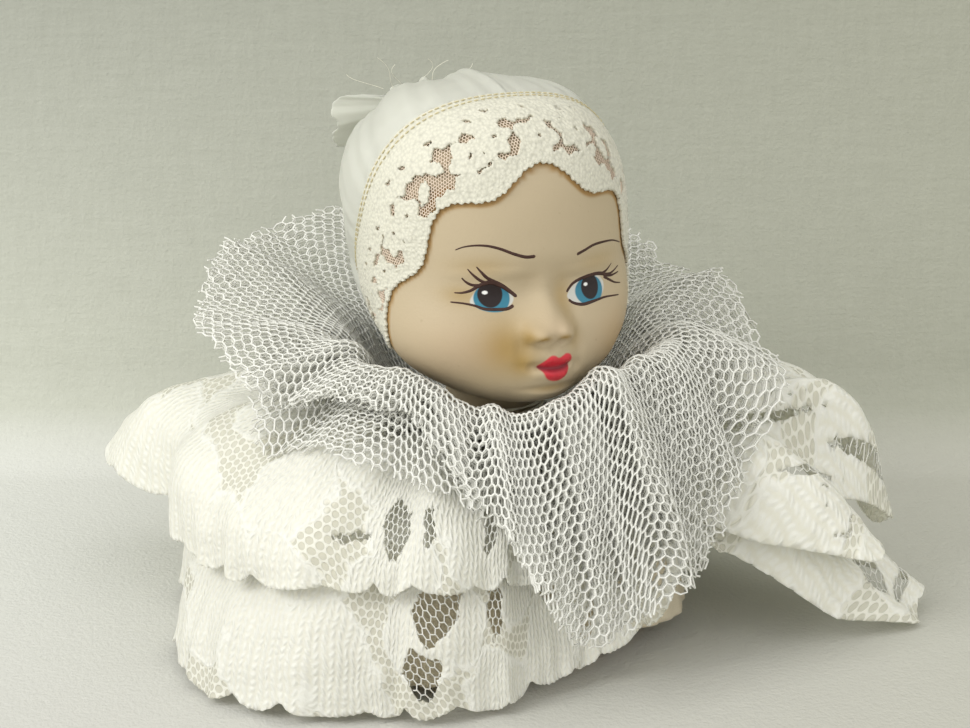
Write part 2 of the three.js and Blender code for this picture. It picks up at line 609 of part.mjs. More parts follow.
function neckCordGeometry() {
  const radius = GROOVE_RADIUS + SEAT_GAP + BODY_WALL + SEAT_GAP + NECK_CORD / 2;
  const cord = woundGeometry('neck_cord', radius, NECK_CORD, NECK_CORD_PITCH, NECK_CORD_TURNS);
  return cord.translate(0, 0, BODY_TOP - (NECK_CORD_PITCH * NECK_CORD_TURNS) / 2);
}

function ruffThreadGeometry() {
  const radius = NECK_RADIUS + SEAT_GAP + RUFF_THREAD / 2;
  const thread = woundGeometry('ruff_thread', radius, RUFF_THREAD, RUFF_THREAD_PITCH, RUFF_THREAD_TURNS);
  const lastCollar = LOWEST_COLLAR_HEIGHT + (clothRings.length - 1) * STACK_STEP;
  const lowest = lastCollar + CLOTH / 2 + SEAT_GAP + RUFF_THREAD / 2;
  return thread.translate(0, 0, lowest + (RUFF_THREAD_PITCH * RUFF_THREAD_TURNS) / 2);
}

const doll = new THREE.Group();

function addPiece(name, geometry, color, roughness) {
  const mesh = new THREE.Mesh(geometry, new THREE.MeshStandardMaterial({ color, roughness, metalness: 0 }));
  mesh.name = name;
  doll.add(mesh);
}

addPiece('head_shell', headGeometry(), COLOURS.bisque, 0.55);
addPiece('bonnet_crown', crownGeometry(), COLOURS.satin, 0.4);
addPiece('bonnet_lace_band', bandGeometry(), COLOURS.lace, 0.85);
addPiece('crown_tie', crownTieGeometry(), COLOURS.thread, 0.7);

clothRings.forEach(([name, colour, ...sizes], layer) => {
  const mesh = layer > 0 ? [CLOTH_COLUMNS, clothRowShares] : [UNDERSKIRT_COLUMNS, underskirtRowShares];
  addPiece(name, clothGeometry(layer, ...sizes, ...mesh), colour, 0.85);
});

addPiece('body_bag', bagGeometry(), COLOURS.muslin, 0.9);
addPiece('stuffing', stuffingGeometry(), COLOURS.stuffing, 1);
addPiece('neck_cord', neckCordGeometry(), COLOURS.thread, 0.7);
addPiece('ruff_thread', ruffThreadGeometry(), COLOURS.thread, 0.7);

export default doll;
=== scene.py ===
import math

import bpy
import numpy as np
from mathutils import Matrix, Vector


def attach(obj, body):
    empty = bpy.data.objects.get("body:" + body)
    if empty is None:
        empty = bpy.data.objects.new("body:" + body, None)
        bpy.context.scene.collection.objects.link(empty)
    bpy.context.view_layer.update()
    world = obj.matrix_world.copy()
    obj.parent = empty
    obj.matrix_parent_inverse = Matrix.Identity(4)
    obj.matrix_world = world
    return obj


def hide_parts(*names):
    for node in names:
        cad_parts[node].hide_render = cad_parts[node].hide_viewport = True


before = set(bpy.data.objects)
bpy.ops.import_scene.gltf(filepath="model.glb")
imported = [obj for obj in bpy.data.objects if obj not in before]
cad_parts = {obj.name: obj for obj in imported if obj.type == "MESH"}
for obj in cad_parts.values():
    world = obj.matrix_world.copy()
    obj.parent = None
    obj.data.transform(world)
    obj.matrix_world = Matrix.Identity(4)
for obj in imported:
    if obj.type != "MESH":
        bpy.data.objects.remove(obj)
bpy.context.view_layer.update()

bl_info = {
    "name": "Ceramic Doll",
    "version": (1, 0, 0),
    "blender": (4, 5, 0),
    "location": "View3D > Sidebar > Doll",
    "description": "A small ceramic doll head with a lace bonnet, tied to a cloth body in net and lace",
    "category": "Object",
}

# Shapes are worked out in millimetres and stored in metres
MM = 0.001

# Head
HEAD_CENTRE = np.array([0.0, 0.0, 78.0])
HEAD_HALF_WIDTH = 24.6
FACE_HALF_DEPTH = 22.2
SKULL_HALF_DEPTH = 24.5
CROWN_HALF_HEIGHT = 28.8
JAW_HALF_HEIGHT = 26.0
JAW_FORWARD = 9.0
JAW_NARROWING = 0.16
CROWN_ROUNDNESS = 2.9
JAW_ROUNDNESS = 2.6
HEAD_WALL = 2.8
RELIEF_FADE = 0.35 * FACE_HALF_DEPTH
LAST_RING_ANGLE = math.radians(157)
NECK_PROFILE = [(9.0, 50.8), (9.0, 45.2), (8.0, 44.6), (8.0, 40.6),
                (11.5, 40.0), (11.5, 37.6), (6.2, 37.6), (6.2, 50.8)]

# Face relief from the mould: across, height, width, tallness and push, in millimetres
FACE_RELIEF = [
    (0.0, 74.62, 7.87, 3.38, -1.665),
    (9.35, 74.36, 4.92, 2.86, -1.0),
    (-9.35, 74.36, 4.92, 2.86, -1.0),
    (0.0, 72.54, 1.72, 3.38, 1.554),
    (0.0, 68.9, 2.34, 2.21, 2.886),
    (3.08, 67.6, 1.6, 1.43, 1.332),
    (-3.08, 67.6, 1.6, 1.43, 1.332),
    (14.76, 66.3, 7.87, 6.76, 1.665),
    (-14.76, 66.3, 7.87, 6.76, 1.665),
    (19.68, 63.44, 4.92, 6.24, 1.887),
    (-19.68, 63.44, 4.92, 6.24, 1.887),
    (0.0, 63.44, 2.95, 1.17, 1.11),
    (0.0, 60.06, 2.21, 1.04, 1.0),
    (0.0, 61.75, 2.71, 0.52, -0.666),
    (0.0, 55.64, 4.18, 2.08, 0.777),
]
# Finer, crisper relief that only the finished face has: muzzle, eyeballs, nose, nostrils, groove, lip
# corners, folds beside the nose, lids and chin
FACE_DETAIL = [
    (0.4, 61.6, 6.2, 4.4, 1.1),
    (-9.6, 74.2, 3.4, 2.2, 0.45),
    (9.3, 73.4, 3.4, 2.2, 0.45),
    (0.2, 75.6, 3.0, 3.4, -0.5),
    (0.2, 72.4, 2.2, 2.0, -0.6),
    (-0.9, 69.4, 3.6, 2.8, 0.9),
    (0.8, 68.6, 1.8, 1.8, -0.8),
    (0.0, 77.0, 7.5, 3.6, 0.5),
    (-3.8, 68.0, 1.2, 1.3, 1.0),
    (1.9, 68.0, 1.1, 1.3, 0.9),
    (4.6, 69.5, 1.4, 3.0, -0.35),
    (22.0, 63.0, 4.0, 5.0, -1.2),
    (-2.6, 66.6, 0.7, 0.45, -0.9),
    (1.2, 66.5, 0.7, 0.45, -0.9),
    (-0.2, 65.2, 0.6, 0.7, -0.3),
    (-3.4, 61.3, 0.7, 0.7, -0.4),
    (5.3, 60.7, 0.7, 0.7, -0.4),
    (-5.4, 65.4, 0.9, 2.2, -0.35),
    (5.8, 65.2, 0.9, 2.2, -0.35),
    (-9.4, 78.2, 4.6, 0.8, 0.25),
    (9.9, 77.5, 4.6, 0.8, 0.25),
    (0.6, 57.0, 3.4, 0.6, -0.5),
    (0.6, 54.4, 3.6, 2.0, 0.6),
]
DETAIL_CRISPNESS = 1.5

# Bonnet
BONNET_TILT = math.radians(36)
BONNET_AXIS = np.array([0.0, math.cos(BONNET_TILT), math.sin(BONNET_TILT)])
BONNET_UP = np.array([0.0, -math.sin(BONNET_TILT), math.cos(BONNET_TILT)])
ACROSS = np.array([1.0, 0.0, 0.0])
BONNET_GAP = 0.35
BAND_RADIUS = 26.0
BAND_NOTCH_ANGLE = 100.0
BAND_SIDE_DROP = 12.0
SCALLOP_DEPTH = 8.0
SCALLOP_PITCH = 44.0
BAND_END_ANGLE = 126.0
BAND_BACK_ANGLE = 65.0
BAND_BACK_DROP = 7.0
CROWN_PUFF = 4.4
TAIL_FLARE = 18.0
TAIL_RISE = 12.5
TAIL_SAG = 3.0
TAIL_TOP_TRIM = 0.6

# Clothes, laid turned to one side under the head. Stations go round from the front of the clothes, in
# degrees; at each, points from collar to hem as a share of the reach and a share of the height.
CLOTHES_TURN = math.radians(-25)
COLLAR_RADIUS = 10.9
LOWEST_COLLAR = 41.6
STACK_STEP = 1.1
FOLD_DEPTH = 2.0
FOLD_START = 24.0
FOLD_FULL = 46.0
RUFF_SIZE = (60.0, 80.0)
SKIRT_SIZE = (85.0, 54.0)
UNDERSKIRT_SIZE = (44.0, 42.0)
SKIRT_YOKE = (15.5, 0.2)
LOWER_RUFF_YOKE = (23.5, 3.0)
UPPER_RUFF_YOKE = (21.0, 3.2)
UPPER_RUFF = [
    (-180, [(0.5, 0.775), (0.8, 0.91)]),
    (-150, [(0.52, 0.775), (0.93, 0.95)]),
    (-120, [(0.53, 0.775), (1, 0.94)]),
    (-90, [(0.53, 0.765), (0.95, 0.83)]),
    (-60, [(0.49, 0.775), (0.8, 0.7)]),
    (-30, [(0.47, 0.745), (0.7, 0.57)]),
    (0, [(0.45, 0.655), (0.76, 0.36)]),
    (25, [(0.49, 0.68), (0.75, 0.19)]),
    (55, [(0.52, 0.745), (0.75, 0.26)]),
    (75, [(0.57, 0.76), (0.84, 0.46)]),
    (90, [(0.6, 0.76), (0.94, 0.64)]),
    (120, [(0.57, 0.77), (0.9, 0.81)]),
    (150, [(0.52, 0.77), (0.9, 0.9)]),
]
LOWER_RUFF = [
    (-180, [(0.5, 0.73), (0.85, 0.67)]),
    (-120, [(0.53, 0.73), (0.82, 0.7)]),
    (-90, [(0.53, 0.72), (0.75, 0.735)]),
    (-60, [(0.5, 0.7), (0.82, 0.58)]),
    (-30, [(0.47, 0.68), (0.8, 0.45)]),
    (0, [(0.45, 0.61), (0.69, 0.33)]),
    (25, [(0.46, 0.63), (0.66, 0.26)]),
    (55, [(0.5, 0.7), (0.66, 0.33)]),
    (75, [(0.54, 0.71), (0.73, 0.54)]),
    (90, [(0.57, 0.71), (0.8, 0.66)]),
    (120, [(0.55, 0.725), (0.84, 0.66)]),
    (150, [(0.52, 0.73), (0.85, 0.66)]),
]
UPPER_TIER = [
    (-180, [(0.4, 0.91), (0.59, 0.7), (0.65, 0.44)]),
    (-145, [(0.42, 0.92), (0.68, 0.7), (0.76, 0.4)]),
    (-115, [(0.44, 0.92), (0.88, 0.72), (1.06, 0.46)]),
    (-90, [(0.47, 0.93), (0.72, 0.78), (0.74, 0.46)]),
    (-60, [(0.41, 0.92), (0.65, 0.7), (0.68, 0.44)]),
    (-30, [(0.33, 0.87), (0.5, 0.61), (0.54, 0.46)]),
    (0, [(0.28, 0.83), (0.39, 0.62), (0.42, 0.44)]),
    (30, [(0.27, 0.82), (0.35, 0.61), (0.37, 0.43)]),
    (60, [(0.29, 0.86), (0.39, 0.66), (0.42, 0.48)]),
    (72, [(0.33, 0.86), (0.44, 0.65), (0.48, 0.52)]),
    (84, [(0.41, 0.89), (0.68, 0.66), (0.88, 0.32)]),
    (92, [(0.42, 0.88), (0.7, 0.66), (0.84, 0.46)]),
    (101, [(0.44, 0.91), (0.84, 0.83), (1.0, 0.28)]),
    (120, [(0.43, 0.91), (0.79, 0.8), (0.87, 0.4)]),
    (150, [(0.41, 0.92), (0.65, 0.7), (0.72, 0.4)]),
]
LOWER_TIER = [
    (-180, [(0.37, 0.81), (0.54, 0.49), (0.59, 0.1)]),
    (-120, [(0.41, 0.83), (0.7, 0.45), (0.77, 0.07)]),
    (-90, [(0.43, 0.85), (0.67, 0.43), (0.73, 0.035)]),
    (-60, [(0.41, 0.83), (0.65, 0.4), (0.73, 0.02)]),
    (-30, [(0.33, 0.79), (0.52, 0.37), (0.55, 0.02)]),
    (0, [(0.27, 0.76), (0.41, 0.37), (0.44, 0.02)]),
    (25, [(0.26, 0.75), (0.34, 0.34), (0.37, 0.06)]),
    (50, [(0.28, 0.76), (0.38, 0.4), (0.43, 0.17)]),
    (72, [(0.32, 0.76), (0.43, 0.56), (0.49, 0.46)]),
    (78, [(0.35, 0.77), (0.47, 0.52), (0.55, 0.4)]),
    (84, [(0.38, 0.78), (0.63, 0.48), (0.82, 0.04)]),
    (90, [(0.38, 0.78), (0.7, 0.46), (1.02, 0.03)]),
    (96, [(0.38, 0.79), (0.7, 0.45), (1.05, 0.07)]),
    (103, [(0.39, 0.8), (0.66, 0.43), (0.84, 0.16)]),
    (112, [(0.39, 0.81), (0.62, 0.45), (0.73, 0.14)]),
    (130, [(0.39, 0.81), (0.6, 0.46), (0.66, 0.14)]),
]
UNDERSKIRT = [
    (-180, [(0.46, 0.87), (0.84, 0.43), (0.91, 0.07)]),
    (-105, [(0.46, 0.87), (0.9, 0.43), (0.98, 0.07)]),
    (-60, [(0.46, 0.87), (0.85, 0.43), (0.93, 0.07)]),
    (-30, [(0.46, 0.87), (0.74, 0.43), (0.81, 0.07)]),
    (0, [(0.46, 0.87), (0.61, 0.43), (0.67, 0.07)]),
    (30, [(0.45, 0.87), (0.55, 0.43), (0.59, 0.09)]),
    (60, [(0.46, 0.87), (0.61, 0.43), (0.66, 0.12)]),
    (95, [(0.46, 0.87), (0.8, 0.43), (0.88, 0.1)]),
]

# Photograph's camera: angles, distance and lens in millimetres
CAMERA_AZIMUTH = math.radians(-25)
CAMERA_ELEVATION = math.radians(17)
CAMERA_DISTANCE = 340.0
CAMERA_LENS = 66.0
CAMERA_TARGET = np.array([-1.36, 0.63, 55.0])


# Numbers
def fade(x, low, high):
    """Goes smoothly from 0 at low to 1 at high."""
    t = np.clip((x - low) / (high - low), 0, 1)
    return t * t * (3 - 2 * t)


def unit(v):
    return v / np.maximum(np.linalg.norm(v, axis=-1, keepdims=True), 1e-9)


def smooth_line(points, count, closed=False):
    """A curve through all the points, with count samples."""
    points = np.asarray(points, float)
    total = len(points)
    spans = total if closed else total - 1
    place = np.linspace(0, spans, count, endpoint=not closed)
    span = np.minimum(place.astype(int), spans - 1)
    u = (place - span)[:, None]
    step = [(span + k) % total if closed else np.clip(span + k, 0, total - 1) for k in (-1, 0, 1, 2)]
    a, b, c, d = (points[s] for s in step)
    return b + 0.5 * u * (c - a + u * (2 * a - 5 * b + 4 * c - d + u * (3 * (b - c) + d - a)))


def outline_distance(points, outline):
    """Distance inside a closed flat outline, negative outside."""
    start, end = outline, np.roll(outline, -1, axis=0)
    least = np.full(len(points), 1e9)
    inside = np.zeros(len(points), bool)
    for (ax, ay), (bx, by) in zip(start, end):
        px, py = points[:, 0] - ax, points[:, 1] - ay
        ex, ey = bx - ax, by - ay
        t = np.clip((px * ex + py * ey) / (ex * ex + ey * ey), 0, 1)
        least = np.minimum(least, np.hypot(px - t * ex, py - t * ey))
        crosses = (ay > points[:, 1]) != (by > points[:, 1])
        if abs(ey) > 1e-9:
            inside ^= crosses & (points[:, 0] < ax + (points[:, 1] - ay) * ex / ey)
    return np.where(inside, least, -least)


def oval_distance(x, y, centre, width, tallness, lean=0.0):
    """Roughly the distance inside an oval, negative outside."""
    c, s = math.cos(lean), math.sin(lean)
    dx, dy = x - centre[0], y - centre[1]
    near = np.hypot((dx * c + dy * s) / width, (dy * c - dx * s) / tallness)
    return (1 - near) * min(width, tallness)


# Head form
def head_measure(p):
    down = (HEAD_CENTRE[2] - p[..., 2]) / JAW_HALF_HEIGHT
    lower = np.maximum(down, 0)
    upper = np.maximum((p[..., 2] - HEAD_CENTRE[2]) / CROWN_HALF_HEIGHT, 0)
    roundness = np.where(down > 0, JAW_ROUNDNESS, CROWN_ROUNDNESS)
    forward = -p[..., 1] - JAW_FORWARD * lower ** 2
    side = p[..., 0] / (HEAD_HALF_WIDTH * (1 - JAW_NARROWING * lower ** 2))
    deep = forward / np.where(forward > 0, FACE_HALF_DEPTH, SKULL_HALF_DEPTH)
    return np.hypot(side, deep) ** roundness + np.maximum(lower, upper) ** roundness


def head_radius(direction):
    near = np.zeros(direction.shape[:-1])
    far = np.full(direction.shape[:-1], 2 * CROWN_HALF_HEIGHT)
    for _ in range(34):
        middle = (near + far) / 2
        inside = head_measure(direction * middle[..., None] + HEAD_CENTRE) < 1
        near = np.where(inside, middle, near)
        far = np.where(inside, far, middle)
    return near


def push_face(p, bumps, crispness=1.0):
    """Moves points of the face out from the neck's axis by the relief there."""
    relief = np.zeros(p.shape[:-1])
    for x, z, width, tallness, push in bumps:
        away = ((p[..., 0] - x) / width) ** 2 + ((p[..., 2] - z) / tallness) ** 2
        relief += push * np.exp(-(away / 2) ** crispness)
    relief *= fade(-p[..., 1], 0, RELIEF_FADE)
    outward = unit(p * np.array([1.0, 1.0, 0.0]))
    return p + outward * relief[..., None]


LIPS = smooth_line([(-2.7, 61.4), (-2.0, 62.6), (-0.9, 63.7), (0.0, 63.7), (0.8, 63.2),
                    (1.6, 63.5), (2.4, 63.8), (3.4, 63.4),
                    (4.0, 62.3), (3.6, 61.3), (3.3, 60.3), (2.9, 59.2),
                    (1.7, 58.5), (0.1, 58.6), (-1.2, 59.4), (-1.9, 60.6)], 90, True)
PARTING = smooth_line([(-2.5, 61.3), (-1.0, 61.1), (0.5, 61.0), (2.0, 61.1), (3.4, 61.4)], 30)


def line_distance(points, line):
    least = np.full(len(points), 1e9)
    for a, b in zip(line[:-1], line[1:]):
        e = b - a
        t = np.clip(((points - a) @ e) / (e @ e), 0, 1)
        least = np.minimum(least, np.linalg.norm(points - a - t[:, None] * e, axis=1))
    return least


def head_direction(from_top, turn):
    return np.stack([np.sin(from_top) * np.sin(turn), -np.sin(from_top) * np.cos(turn), np.cos(from_top)], axis=-1)


def face_surface(direction, lift=0.0):
    """The finished head's outer surface along a direction, with the fine relief and the raised lips."""
    p = direction * (head_radius(direction) + lift)[..., None] + HEAD_CENTRE
    p = push_face(push_face(p, FACE_RELIEF), FACE_DETAIL, DETAIL_CRISPNESS)
    flat = p.reshape(-1, 3)
    near = (flat[:, 1] < -15) & (np.abs(flat[:, 0]) < 9) & (np.abs(flat[:, 2] - 61) < 7)
    spot = flat[near][:, [0, 2]]
    if len(spot):
        swell = 0.5 * fade(outline_distance(spot, LIPS), -0.3, 1.1)
        crease = 0.6 * np.exp(-(line_distance(spot, PARTING) / 0.45) ** 2)
        flat[near, 1] -= swell - crease
    return flat.reshape(p.shape)


def face_point(x, z, lift=0.0):
    """The finished face's surface at a place seen from straight in front."""
    goal = np.stack([x, z], axis=-1)
    aim = goal.copy()
    for _ in range(8):
        depth = -np.sqrt(np.maximum(23.0 ** 2 - aim[:, 0] ** 2, 9.0))
        direction = unit(np.stack([aim[:, 0], depth, aim[:, 1] - HEAD_CENTRE[2]], axis=-1))
        p = face_surface(direction, np.full(len(aim), lift))
        aim += goal - p[:, [0, 2]]
    return p


# Bonnet form
def bonnet_point(from_axis, round_axis, lift):
    """A place on the bonnet: degrees from its axis, degrees round it from the top, millimetres off the skull."""
    a, r = np.radians(from_axis), np.radians(round_axis)
    direction = (np.cos(a)[..., None] * BONNET_AXIS + (np.sin(a) * np.cos(r))[..., None] * BONNET_UP
                 + (np.sin(a) * np.sin(r))[..., None] * ACROSS)
    return push_face(direction * (head_radius(direction) + lift)[..., None] + HEAD_CENTRE, FACE_RELIEF)


def band_front_angle(round_axis):
    scallop = (1 - np.cos(2 * np.pi * round_axis / SCALLOP_PITCH)) / 2
    return BAND_NOTCH_ANGLE + BAND_SIDE_DROP * np.minimum((round_axis / 90) ** 2, 1) + SCALLOP_DEPTH * scallop


def band_back_angle(round_axis):
    return BAND_BACK_ANGLE + BAND_BACK_DROP * np.minimum((round_axis / 80) ** 2, 1)


def axis_point(distance, height, round_axis, flatness):
    r = np.radians(round_axis)
    top = float(head_radius(BONNET_AXIS[None])[0])
    return (HEAD_CENTRE + BONNET_AXIS * (top + height)[..., None]
            + BONNET_UP * (distance * flatness * np.cos(r))[..., None] + ACROSS * (distance * np.sin(r))[..., None])


# Mesh makers
def new_mesh_object(name, points, triangles, edges=None):
    """A piece from millimetre points and triangle corner numbers, or from threads given as edges."""
    mesh = bpy.data.meshes.new(name)
    points = np.asarray(points, np.float32) * MM
    mesh.vertices.add(len(points))
    mesh.vertices.foreach_set("co", points.ravel())
    if edges is not None:
        mesh.edges.add(len(edges))
        mesh.edges.foreach_set("vertices", np.asarray(edges, np.int32).ravel())
    if triangles is not None and len(triangles):
        triangles = np.asarray(triangles, np.int32)
        mesh.loops.add(3 * len(triangles))
        mesh.loops.foreach_set("vertex_index", triangles.ravel())
        mesh.polygons.add(len(triangles))
        mesh.polygons.foreach_set("loop_start", np.arange(0, 3 * len(triangles), 3, dtype=np.int32))
        mesh.polygons.foreach_set("use_smooth", np.ones(len(triangles), bool))
    mesh.update(calc_edges=edges is None)
    piece = bpy.data.objects.new(name, mesh)
    bpy.context.scene.collection.objects.link(piece)
    return piece


def store_values(piece, name, values):
    attribute = piece.data.attributes.new(name, "FLOAT", "POINT")
    attribute.data.foreach_set("value", np.asarray(values, np.float32))


def store_flat_places(piece, flat):
    """A UV map in metres of the flat cloth, from one flat place for each point."""
    corners = np.zeros(len(piece.data.loops), np.int32)
    piece.data.loops.foreach_get("vertex_index", corners)
    layer = piece.data.uv_layers.new(name="flat_cloth")
    layer.data.foreach_set("uv", (np.asarray(flat)[corners] * MM).astype(np.float32).ravel())


def turned_outward(points, triangles):
    a, b, c = (points[triangles[:, k]] for k in range(3))
    volume = np.einsum("ij,ij->i", a, np.cross(b, c)).sum()
    return triangles if volume > 0 else triangles[:, ::-1]


def grid_triangles(rows, columns, wraps):
    """Triangles of a grid of points numbered row by row."""
    i, j = np.meshgrid(np.arange(rows - 1), np.arange(columns if wraps else columns - 1), indexing="ij")
    here, after = i * columns + j, i * columns + (j + 1) % columns
    below, beyond = here + columns, after + columns
    return np.concatenate([np.stack([here, below, beyond], -1).reshape(-1, 3),
                           np.stack([here, beyond, after], -1).reshape(-1, 3)])


def ring_body(rings, first_pole, last_pole):
    """A closed body from rings of equal length, with a pole at each end."""
    rings = np.asarray(rings)
    count, columns = rings.shape[:2]
    points = np.concatenate([rings.reshape(-1, 3), [first_pole], [last_pole]])
    j = np.arange(columns)
    after = (j + 1) % columns
    last = (count - 1) * columns
    first_cap = np.stack([np.full(columns, count * columns), j, after], -1)
    last_cap = np.stack([np.full(columns, count * columns + 1), last + after, last + j], -1)
    triangles = np.concatenate([grid_triangles(count, columns, True), first_cap, last_cap])
    return points, turned_outward(points, triangles)


def thickened(points, normals, triangles, thickness):
    """Both faces of a thin sheet and the wall round its edges."""
    count = len(points)
    half = normals * (np.asarray(thickness) / 2).reshape(-1, 1)
    both = np.concatenate([points + half, points - half])
    pairs = np.concatenate([triangles[:, [0, 1]], triangles[:, [1, 2]], triangles[:, [2, 0]]])
    forward = pairs[:, 0] * count + pairs[:, 1]
    backward = pairs[:, 1] * count + pairs[:, 0]
    edge = pairs[~np.isin(forward, backward)]
    a, b = edge[:, 0], edge[:, 1]
    wall = np.concatenate([np.stack([b, a, a + count], -1), np.stack([b, a + count, b + count], -1)])
    return both, np.concatenate([triangles, triangles[:, ::-1] + count, wall])


def cut_pattern(u, v, inside):
    """Flat triangles over the part of a grid where inside is above zero, with its edge on zero."""
    columns, rows = len(u), len(v)
    flat = np.stack(np.meshgrid(u, v, indexing="ij"), -1).reshape(-1, 2)
    value = inside.ravel()
    triangles = grid_triangles(columns, rows, False)
    triangles = triangles[(value[triangles] > 0).any(1)]
    kept = (value[triangles] > 0).sum(1)
    whole = triangles[kept == 3]

    def turned(some, wanted):
        """Turns each triangle so that its one corner of the wanted kind comes first."""
        first = np.argmax((value[some] > 0) == wanted, axis=1)
        order = (first[:, None] + np.arange(3)) % 3
        return np.take_along_axis(some, order, axis=1)

    tip, wide = turned(triangles[kept == 1], True), turned(triangles[kept == 2], False)
    crossings = np.concatenate([tip[:, [0, 1]], tip[:, [0, 2]], wide[:, [0, 1]], wide[:, [0, 2]]])
    low, high = crossings.min(1), crossings.max(1)
    keys, index = np.unique(low.astype(np.int64) * len(flat) + high, return_inverse=True)
    low, high = keys // len(flat), keys % len(flat)
    share = np.clip(value[low] / (value[low] - value[high]), 0.06, 0.94)[:, None]
    points = np.concatenate([flat, flat[low] * (1 - share) + flat[high] * share])
    values = np.concatenate([value, np.zeros(len(keys))])
    index = index.reshape(-1) + len(flat)
    t, w = len(tip), len(wide)
    tip_a, tip_b, wide_a, wide_b = index[:t], index[t:2 * t], index[2 * t:2 * t + w], index[2 * t + w:]
    triangles = np.concatenate([
        whole,
        np.stack([tip[:, 0], tip_a, tip_b], -1),
        np.stack([wide_a, wide[:, 1], wide[:, 2]], -1),
        np.stack([wide_a, wide[:, 2], wide_b], -1),
    ])
    used, triangles = np.unique(triangles, return_inverse=True)
    return points[used], values[used], triangles.reshape(-1, 3)


def honeycomb(width, depth, cell, keep, wobble, seed):
    """Corners and threads of a honeycomb net over a flat width and depth, kept where keep says so."""
    across, down = int(width / cell) + 2, int(depth / (cell * math.sqrt(3) / 2)) + 3
    i, j = np.meshgrid(np.arange(-1, across), np.arange(-1, down), indexing="ij")
    start = np.stack([(i + 0.5 * (j % 2)) * cell, j * cell * math.sqrt(3) / 2], -1)
    corners = np.stack([start, start + np.array([0, cell / math.sqrt(3)])], 2).reshape(-1, 2)
    number = np.arange(i.size * 2).reshape(i.shape + (2,))
    side = j % 2
    right = np.clip(i + 1 + side, 0, across)
    left = np.clip(i + side, 0, across)
    above = np.clip(j + 2, 0, down)
    upright = np.stack([number[..., 0], number[..., 1]], -1).reshape(-1, 2)
    leans = [np.stack([number[..., 1], number[column, above, 0]], -1).reshape(-1, 2) for column in (right, left)]
    threads = np.concatenate([upright, *leans])
    length = np.linalg.norm(corners[threads[:, 0]] - corners[threads[:, 1]], axis=1)
    threads = threads[(length > 0.3 * cell) & (length < 0.8 * cell)]
    chance = np.random.default_rng(seed)
    corners = corners + chance.normal(0, wobble * cell, corners.shape)
    threads = threads[keep(corners[threads].mean(1))]
    used, threads = np.unique(threads, return_inverse=True)
    return corners[used], threads.reshape(-1, 2)


# Cloth form. Single folds: degrees from the front at 20 mm out, lean in degrees per millimetre, height, breadth
RUFF_FOLDS = [
    (-5, 0.7, 1.0, 7), (-31, -0.3, 1.2, 6), (15, 0.3, -1.2, 8), (38, 0.45, 1.7, 6), (53, 0.2, -1.3, 6),
    (-52, -0.2, -1.4, 6), (-68, 0.1, 1.5, 5), (-100, 0.1, 1.6, 6),
    (-128, 0.2, -1.4, 7), (-156, 0.0, 1.5, 6), (96, -0.1, 1.5, 6),
    (128, 0.15, -1.4, 8), (158, 0.0, 1.6, 6),
]
TIER_FOLDS = [
    (84, 0.03, 1.3, 2.2), (90, 0.0, -1.8, 2.4), (97, 0.03, 1.6, 2.6),
    (104, 0.02, -1.6, 3), (112, 0.0, 1.4, 4), (128, 0.0, -1.3, 5),
    (-20, 0.2, 1.0, 5), (-44, -0.1, -1.1, 6), (-66, 0.1, 1.2, 6), (-88, 0.0, -1.2, 5),
    (-104, 0.0, 1.0, 4), (-140, 0.0, 1.2, 6), (165, 0.0, 1.2, 6),
]


def fold_wave(turn):
    return 0.7 * np.cos(11 * turn + 0.6) + 0.3 * np.cos(7 * turn + 2)


def gather_wave(turn):
    return 0.42 * np.cos(19 * turn + 1.1) + 0.33 * np.cos(26 * turn + 4) + 0.25 * np.cos(37 * turn + 2.3)


def broad_wave(turn, radius):
    """Uneven soft folds that lean and change along the cloth."""
    return (0.5 * np.cos(5 * turn + radius / 11 + 0.4) + 0.45 * np.cos(9 * turn - radius / 9 + 2.2)
            + 0.35 * np.cos(14 * turn + radius / 6 + 1.0))


